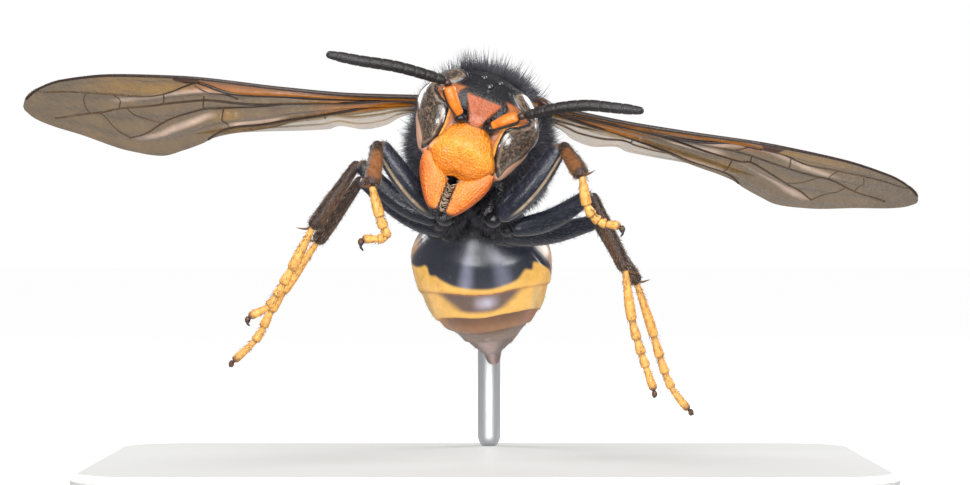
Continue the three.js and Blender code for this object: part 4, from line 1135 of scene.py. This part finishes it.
def membrane_paint(kind, span, share):
    if kind == "hindwing":
        return mix(MEMBRANE_PALE, MEMBRANE_SMOKE, step(0.4, 0.9, span) + 0 * share)
    amber = np.clip(step(0.36, 0.26, share) + step(0.32, 0.16, span), 0, 1) * step(0.62, 0.5, span)
    gold = step(0.34, 0.2, share) * window(0.52, 0.6, 0.74, 0.86, span)
    gold = np.clip(gold + bump(0.5, 0.06, span) * bump(0.7, 0.2, share), 0, 1)
    colours = layered(MEMBRANE_SMOKE, (MEMBRANE_GOLD, gold), (MEMBRANE_AMBER, amber))
    # Pale painted highlights laid along the folds
    for highlight_line in FOREWING_PAINTED_HIGHLIGHTS:
        start, end = highlight_line[0][0], highlight_line[-1][0]
        highlight_share = window(start - 0.03, start + 0.03, end - 0.03, end + 0.03, span)
        highlight_share = highlight_share * bump(0, 0.055, share - through(highlight_line)(span))
        colours = mix(colours, MEMBRANE_PAINTED_HIGHLIGHT, 0.7 * highlight_share)
    return colours


def wing(side_name, kind):
    form, hold = WING_FORMS[kind], WINGS[side_name, kind]

    def sheet(shape, span, share, half, paint):
        front, back = (wing_place(form, hold, span, share, lift) for lift in (half, -half))
        plate(shape, front, back, paint)

    span = np.linspace(WING_START, 1, SPAN_CELLS)[:, None]
    share = np.linspace(0, 1, CHORD_CELLS)[None, :]
    clear, veins = Shape(), Shape()
    sheet(clear, span, share, MEMBRANE / 2, membrane_paint(kind, span, share))
    for radius, *places in form["veins"]:
        line = smooth_line([(span_place, 0, share_place) for span_place, share_place in places], VEIN_RINGS)
        along = line[:, 0]
        path = wing_place(form, hold, along, line[:, 2])
        tangent = unit(np.gradient(path, axis=0))
        across = unit(np.cross(tangent, VEIN_UP))
        half = (radius * (0.95 - 0.45 * np.clip(along, 0, 1)))[:, None]
        faded = 0.9 if kind == "hindwing" else 0.65 * step(0.3, 0.9, along) * (radius < MAIN_VEIN)
        colours = mix(VEIN_BROWN, VEIN_TAN, faded + 0 * along)[:, None]
        tube(veins, rings_about(path, across, np.cross(across, tangent), half, turns(VEIN_SIDES)), colours)
    if form["stigma"]:
        start, end = form["stigma"]
        rows, columns = STIGMA_GRID
        span = np.linspace(start, end, rows)[:, None]
        width = STIGMA_WIDTH * np.sin(math.pi * (span - start) / (end - start)) ** 0.6
        sheet(veins, span, 0.01 + width * np.linspace(0, 1, columns)[None, :], STIGMA_HALF, STIGMA_BROWN)
    make_piece(f"{side_name}_{kind}_membrane", clear, MEMBRANES[kind], "wing", f"{side_name}_{kind}")
    make_piece(f"{side_name}_{kind}_veins", veins, CUTICLE, "wing", f"{side_name}_{kind}")


def tegula(side_name):
    """The cap over the forewing's root."""
    side = SIDES[side_name]
    cap = Shape()
    centre = np.array(WINGS[side_name, "forewing"][0]) + [-0.1 * side, 0.05, 0.22]
    ellipsoid(cap, centre, TEGULA_HALVES, roll(-0.55 * side), DARK_BROWN * 1.3, rows=30, columns=40)
    make_piece(f"{side_name}_tegula_cap", cap, CUTICLE, "cuticle_brown", f"{side_name}_tegula")


def hinge(side_name, kind):
    """The short arm that carries a wing."""
    root, tip = (np.array(end) for end in WINGS[side_name, kind][:2])
    inward = root + [-SIDES[side_name] * 0.75, 0, -0.3]
    arm = Shape()
    limb(arm, [inward, root + (tip - root) * 0.015], [[0, 0.5], [1, 0.3]], BLACK, rings=30)
    make_piece(f"{side_name}_{kind}_hinge", arm, CUTICLE, "cuticle_black")


for side_name in SIDES:
    for kind in WING_FORMS:
        wing(side_name, kind)
    tegula(side_name)
    for kind in WING_FORMS:
        hinge(side_name, kind)


# Coat: thin tapered hairs, gathered in pieces, each with a patch of the skin's unwrap for its colours
PATCH = 0.003
HAIRS_A_PIECE = 17000
ROOT_SCATTER = 0.03
ROOT_SINK = 0.03
COAT_ROWS = 40
COAT_COLUMNS = 24
HAIR_POINTS = 7
PATCH_CORNERS = np.array([
    [-0.5, -0.5], [0.5, -0.5], [0, 0.5], [-0.35, -0.35], [0.35, -0.35], [0, 0.35], [0, 0],
]) * PATCH
HAIR_FACES = np.array([
    [0, 2, 1], [0, 1, 4], [0, 4, 3], [1, 2, 5], [1, 5, 4], [2, 0, 3], [2, 3, 5],
    [3, 4, 6], [4, 5, 6], [5, 3, 6],
])


def surface_normals(points):
    """Directions out of a closed grid of points."""
    along = np.gradient(points, axis=0)
    ahead = np.roll(points, -1, axis=1)
    behind = np.roll(points, 1, axis=1)
    normal = unit(np.cross(ahead - behind, along))
    outward_share = np.sum(normal * (points - points.mean(axis=(0, 1))), axis=-1)
    return normal * np.sign(np.median(outward_share))


def scatter(points, weight, count):
    """Random places on a grid of points, by area and weight: rows, columns and the unwrap there."""
    along = np.linalg.norm(np.gradient(points, axis=0), axis=-1)
    around = np.linalg.norm(np.roll(points, -1, axis=1) - points, axis=-1)
    chance = (along * around * weight).ravel()
    chosen = RANDOM.choice(chance.size, size=count, p=chance / chance.sum())
    rows, columns = np.unravel_index(chosen, along.shape)
    unwrap = np.stack([columns / points.shape[1], rows / points.shape[0]], axis=1)
    return rows, columns, 0.02 + 0.96 * unwrap


def grow_hairs(name, roots, ways, bends, lengths, radius, colours, unwrap, slot):
    """Hairs in pieces: three corners at the root, three half way up, and a tip that bends over."""
    side = unit(np.cross(ways, RANDOM.normal(size=ways.shape)))
    other = np.cross(ways, side)
    corner = turns(3)[None, :, None]
    ring = np.cos(corner) * side[:, None] + np.sin(corner) * other[:, None]
    lengths = lengths[:, None]
    middle = roots + ways * lengths * 0.55 + bends * lengths * 0.08
    tip = roots + ways * lengths * 0.97 + bends * lengths * 0.32
    points = np.concatenate([
        roots[:, None] + ring * radius, middle[:, None] + ring * radius * 0.7, tip[:, None],
    ], axis=1)
    places = unwrap[:, None] + PATCH_CORNERS[None]
    shades = colours[:, None] * np.array([1, 1, 1, 1.15, 1.15, 1.15, 1.5])[:, None]
    for part, start in enumerate(range(0, len(roots), HAIRS_A_PIECE)):
        chosen = slice(start, start + HAIRS_A_PIECE)
        count = len(points[chosen])
        faces = (HAIR_FACES[None] + HAIR_POINTS * np.arange(count)[:, None, None]).reshape(-1, 3)
        shape = Shape()
        shape.add(points[chosen], faces, shades[chosen].reshape(-1, 3), places[chosen].reshape(-1, 2))
        make_piece(f"{name}_{part + 1}", shape, HAIR, slot)


def coat(name, points, weight, count, length, radius, lie, colour, ruffle=0.35):
    """A coat on a grid of skin. Each hair leaves along the skin's normal and the lie, with some ruffle."""
    normals = surface_normals(points)
    rows, columns, unwrap = scatter(points, weight, count)
    roots = points[rows, columns] + RANDOM.normal(scale=ROOT_SCATTER, size=(count, 3))
    out = normals[rows, columns]
    lying = np.asarray(lie, float)
    lying = lying[rows, columns] if lying.ndim == 3 else np.broadcast_to(lying, out.shape)
    ways = unit(out + lying + RANDOM.normal(scale=ruffle, size=(count, 3)))
    reach = length[rows, columns] if np.ndim(length) else np.full(count, length)
    reach = reach * RANDOM.uniform(0.55, 1.2, count)
    shade = colour * RANDOM.uniform(0.6, 1.5, (count, 1))
    bends = unit(lying + 1e-6)
    grow_hairs(name, roots - out * ROOT_SINK, ways, bends, reach, radius, shade, unwrap, "cuticle_black")


def thorax_coats():
    """A dense dark coat, longest on back and shoulders, a grey bloom in it, and single long hairs."""
    place, top, points = thorax_place, thorax_top, thorax_points
    weight = window(0.02, 0.08, 0.9, 0.99, place) * (0.8 + 0.5 * step(-0.5, 0.5, top))
    length = 0.62 + 0.3 * step(0.2, 0.8, top) * step(0.75, 0.5, place)
    length += 0.45 * bump(0.25, 0.75, top) * bump(0.28, 0.26, place)
    way = THORAX.way
    coat("thorax_coat", points, weight, 42000, length * 0.85, 0.013, way * 0.35, HAIR_BLACK)
    coat("thorax_bloom", points, weight, 12000, length * 0.6, 0.011, way * 0.5, HAIR_GREY)
    coat("thorax_bristles", points, weight * step(0, 0.4, top), 1100, 1.15, 0.014, way * -0.1,
         HAIR_BLACK * 0.6, ruffle=0.22)


def head_coats():
    """Hair on vertex, temples and cheeks, shortest on the face, and none on the eyes."""
    height, across = head_height, np.abs(head_points[..., 0])
    ahead = np.sin(head_angle)
    on_face = step(0.1, 0.5, ahead)
    inner_edge = np.interp(height, EYE_EDGE[:, 1], EYE_EDGE[:, 0])
    eye_area = (ahead > -0.35) * (across > inner_edge - 0.08) * (height > EYE_BOTTOM - 0.05)
    crown = step(1.0, 1.5, height)
    weight = (1 - eye_area) * (0.35 + 0.65 * np.clip(crown + 1 - on_face, 0, 1)) * step(-2.1, -1.9, height)
    length = 0.14 + 0.12 * crown + 0.5 * (1 - on_face)
    coat_weight = weight * np.clip(0.05 * crown + 1 - on_face, 0, 1)
    down_weight = weight * on_face * step(1.5, 1.1, height)
    points = placed(head_points)
    coat("head_coat", points, coat_weight, 6500, length, 0.011, [0, 0.15, 0.35], HAIR_BLACK)
    coat("face_down", points, down_weight, 1500, 0.13, 0.008, [0, 0, -0.5], HAIR_TAN * 0.5, ruffle=0.3)


thorax_coats()
head_coats()
# Sparse, short and lying hair on the gaster
coat("gaster_down", gaster_points, window(0.03, 0.1, 0.97, 1, gaster_place), 1800, 0.15, 0.005,
     GASTER.way * 1.5, HAIR_TAN * 0.5, ruffle=0.25)


def limb_coat(name, line, girth, count, length, radius, lie, colour):
    """A coat on a limb, from the same line and girth as its skin."""
    path, side, depth, half, _ = limb_frame(line, girth, COAT_ROWS)
    grid = rings_about(path, side, depth, half[:, None], turns(COAT_COLUMNS))
    weight = np.ones(grid.shape[:2])
    weight[[0, -1]] = 0
    along = unit(np.gradient(path, axis=0))[:, None] + 0 * grid
    coat(name, grid, weight, count, length, radius, along * lie, colour)


for name, (_, _, _, bulk) in LEGS.items():
    hip, coxa_end, trochanter_end, bulge, knee, ankle = leg_joints(name)
    for part, line, girth, look in (
        ("hip", [hip, coxa_end], COXA_GIRTH, (1500, 0.42, 0.011, 0.5, HAIR_BLACK)),
        ("thigh", [trochanter_end, bulge, knee], FEMUR_GIRTH, (900, 0.17, 0.007, 1.0, HAIR_GREY * 0.5)),
        ("shin", [knee, ankle], TIBIA_GIRTH, (700, 0.15, 0.008, 1.1, HAIR_TAN * 0.5)),
    ):
        limb_coat(f"{name}_{part}_coat", line, scaled(girth, bulk), *look)


# Stand: one bent rod from the base to the gaster's back
STEEL = rgb(0.5, 0.51, 0.53)
ROD_RADIUS = 0.55
ROD_X, ROD_Y = 0.2, 10.4
ROD_FOOT = 1.9
ROD_MIDDLE = 5
ARM_HEIGHT = 11.6
ARM_END = 5.3
BEND = 1.6
BEND_POINTS = 9
rod = Shape()
elbow = [
    (ROD_X, ROD_Y - BEND * (1 - math.cos(turn)), ARM_HEIGHT - BEND * (1 - math.sin(turn)))
    for turn in np.linspace(0, math.pi / 2, BEND_POINTS)
]
rod_line = [(ROD_X, ROD_Y, ROD_FOOT), (ROD_X, ROD_Y, ROD_MIDDLE), *elbow, (ROD_X, ARM_END, ARM_HEIGHT)]
rod_girth = [[0, ROD_RADIUS], [1, ROD_RADIUS]]
limb(rod, rod_line, rod_girth, STEEL, sides=28, rings=160, lead=np.array([1.0, 0, 0]))
steel = plain("steel", STEEL, 0.5, metallic=1.0)
make_piece("stand_bent_rod", rod, steel, "stand_steel", "stand_rod", "stand_arm")
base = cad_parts["stand_base"]
base.data.materials.clear()
base.data.materials.append(plain("satin_white", (0.66, 0.66, 0.65), 0.45))


# Camera, light and floor
def make_camera():
    data = bpy.data.cameras.new("camera")
    data.sensor_width = SENSOR_WIDTH
    data.lens = SENSOR_WIDTH * FOCAL_PIXELS / IMAGE_WIDTH
    data.clip_start = 0.01
    camera = add_object("camera", data)
    camera.location = [value * MM for value in CAMERA_PLACE]
    camera.rotation_euler = (math.pi / 2, 0, 0)
    bpy.context.scene.camera = camera


# Soft lights, each as its name, place, size and power, with places and sizes in mm and power in watts
LIGHT_AIM = np.array([0.0, -6.0, 13.0])
LIGHTS = [
    ("key", (0, -75, 60), 76, 0.075),
    ("ring", (6, -168, 42), 70, 0.13),
    ("low_left", (-40, -95, 4), 26, 0.03),
    ("low_right", (34, -95, 4), 26, 0.03),
    ("back_left", (-90, 60, 80), 70, 0.1),
    ("back_right", (90, 60, 70), 70, 0.1),
]
AMBIENT = 0.4
BACKDROP_RADIUS = 1.5
FLOOR_HALF = 2.0
FLOOR_GLOW = 0.72


def make_light(name, place, size, power):
    data = bpy.data.lights.new(name, "AREA")
    data.size = size * MM
    data.energy = power
    light = add_object(name, data)
    light.location = [value * MM for value in place]
    way = unit(LIGHT_AIM - np.array(place, float))
    light.rotation_euler = (math.acos(-way[2]), 0, math.atan2(way[0], -way[1]) + math.pi)


def make_setting(piece, hidden_from, glow, colour=(0, 0, 0), roughness=1.0):
    """A floor or backdrop that glows evenly and that the named kinds of ray don't meet."""
    surface = plain(piece.name, colour, roughness, emission_color=WHITE, emission_strength=glow)
    piece.data.materials.append(surface)
    for ray in hidden_from:
        setattr(piece, f"visible_{ray}", False)


make_camera()
mesh = bpy.data.meshes.new("floor")
corners = [(x * FLOOR_HALF, y * FLOOR_HALF, 0) for x, y in ((-1, -1), (1, -1), (1, 1), (-1, 1))]
mesh.from_pydata(corners, [], [(0, 1, 2, 3)])
make_setting(add_object("floor", mesh), ("diffuse", "glossy"), FLOOR_GLOW, (0.62, 0.62, 0.62), 0.8)
# A white dome that only the camera sees, so that it lights nothing
bpy.ops.mesh.primitive_uv_sphere_add(segments=48, ring_count=24, radius=BACKDROP_RADIUS)
dome = bpy.context.object
dome.name = "backdrop"
make_setting(dome, ("diffuse", "glossy", "transmission", "volume_scatter", "shadow"), 1.0)
for light in LIGHTS:
    make_light(*light)
world = bpy.data.worlds.new("world")
world.use_nodes = True
set_inputs(world.node_tree.nodes["Background"], color=WHITE, strength=AMBIENT)
bpy.context.scene.world = world
bpy.context.scene.view_settings.view_transform = "Standard"
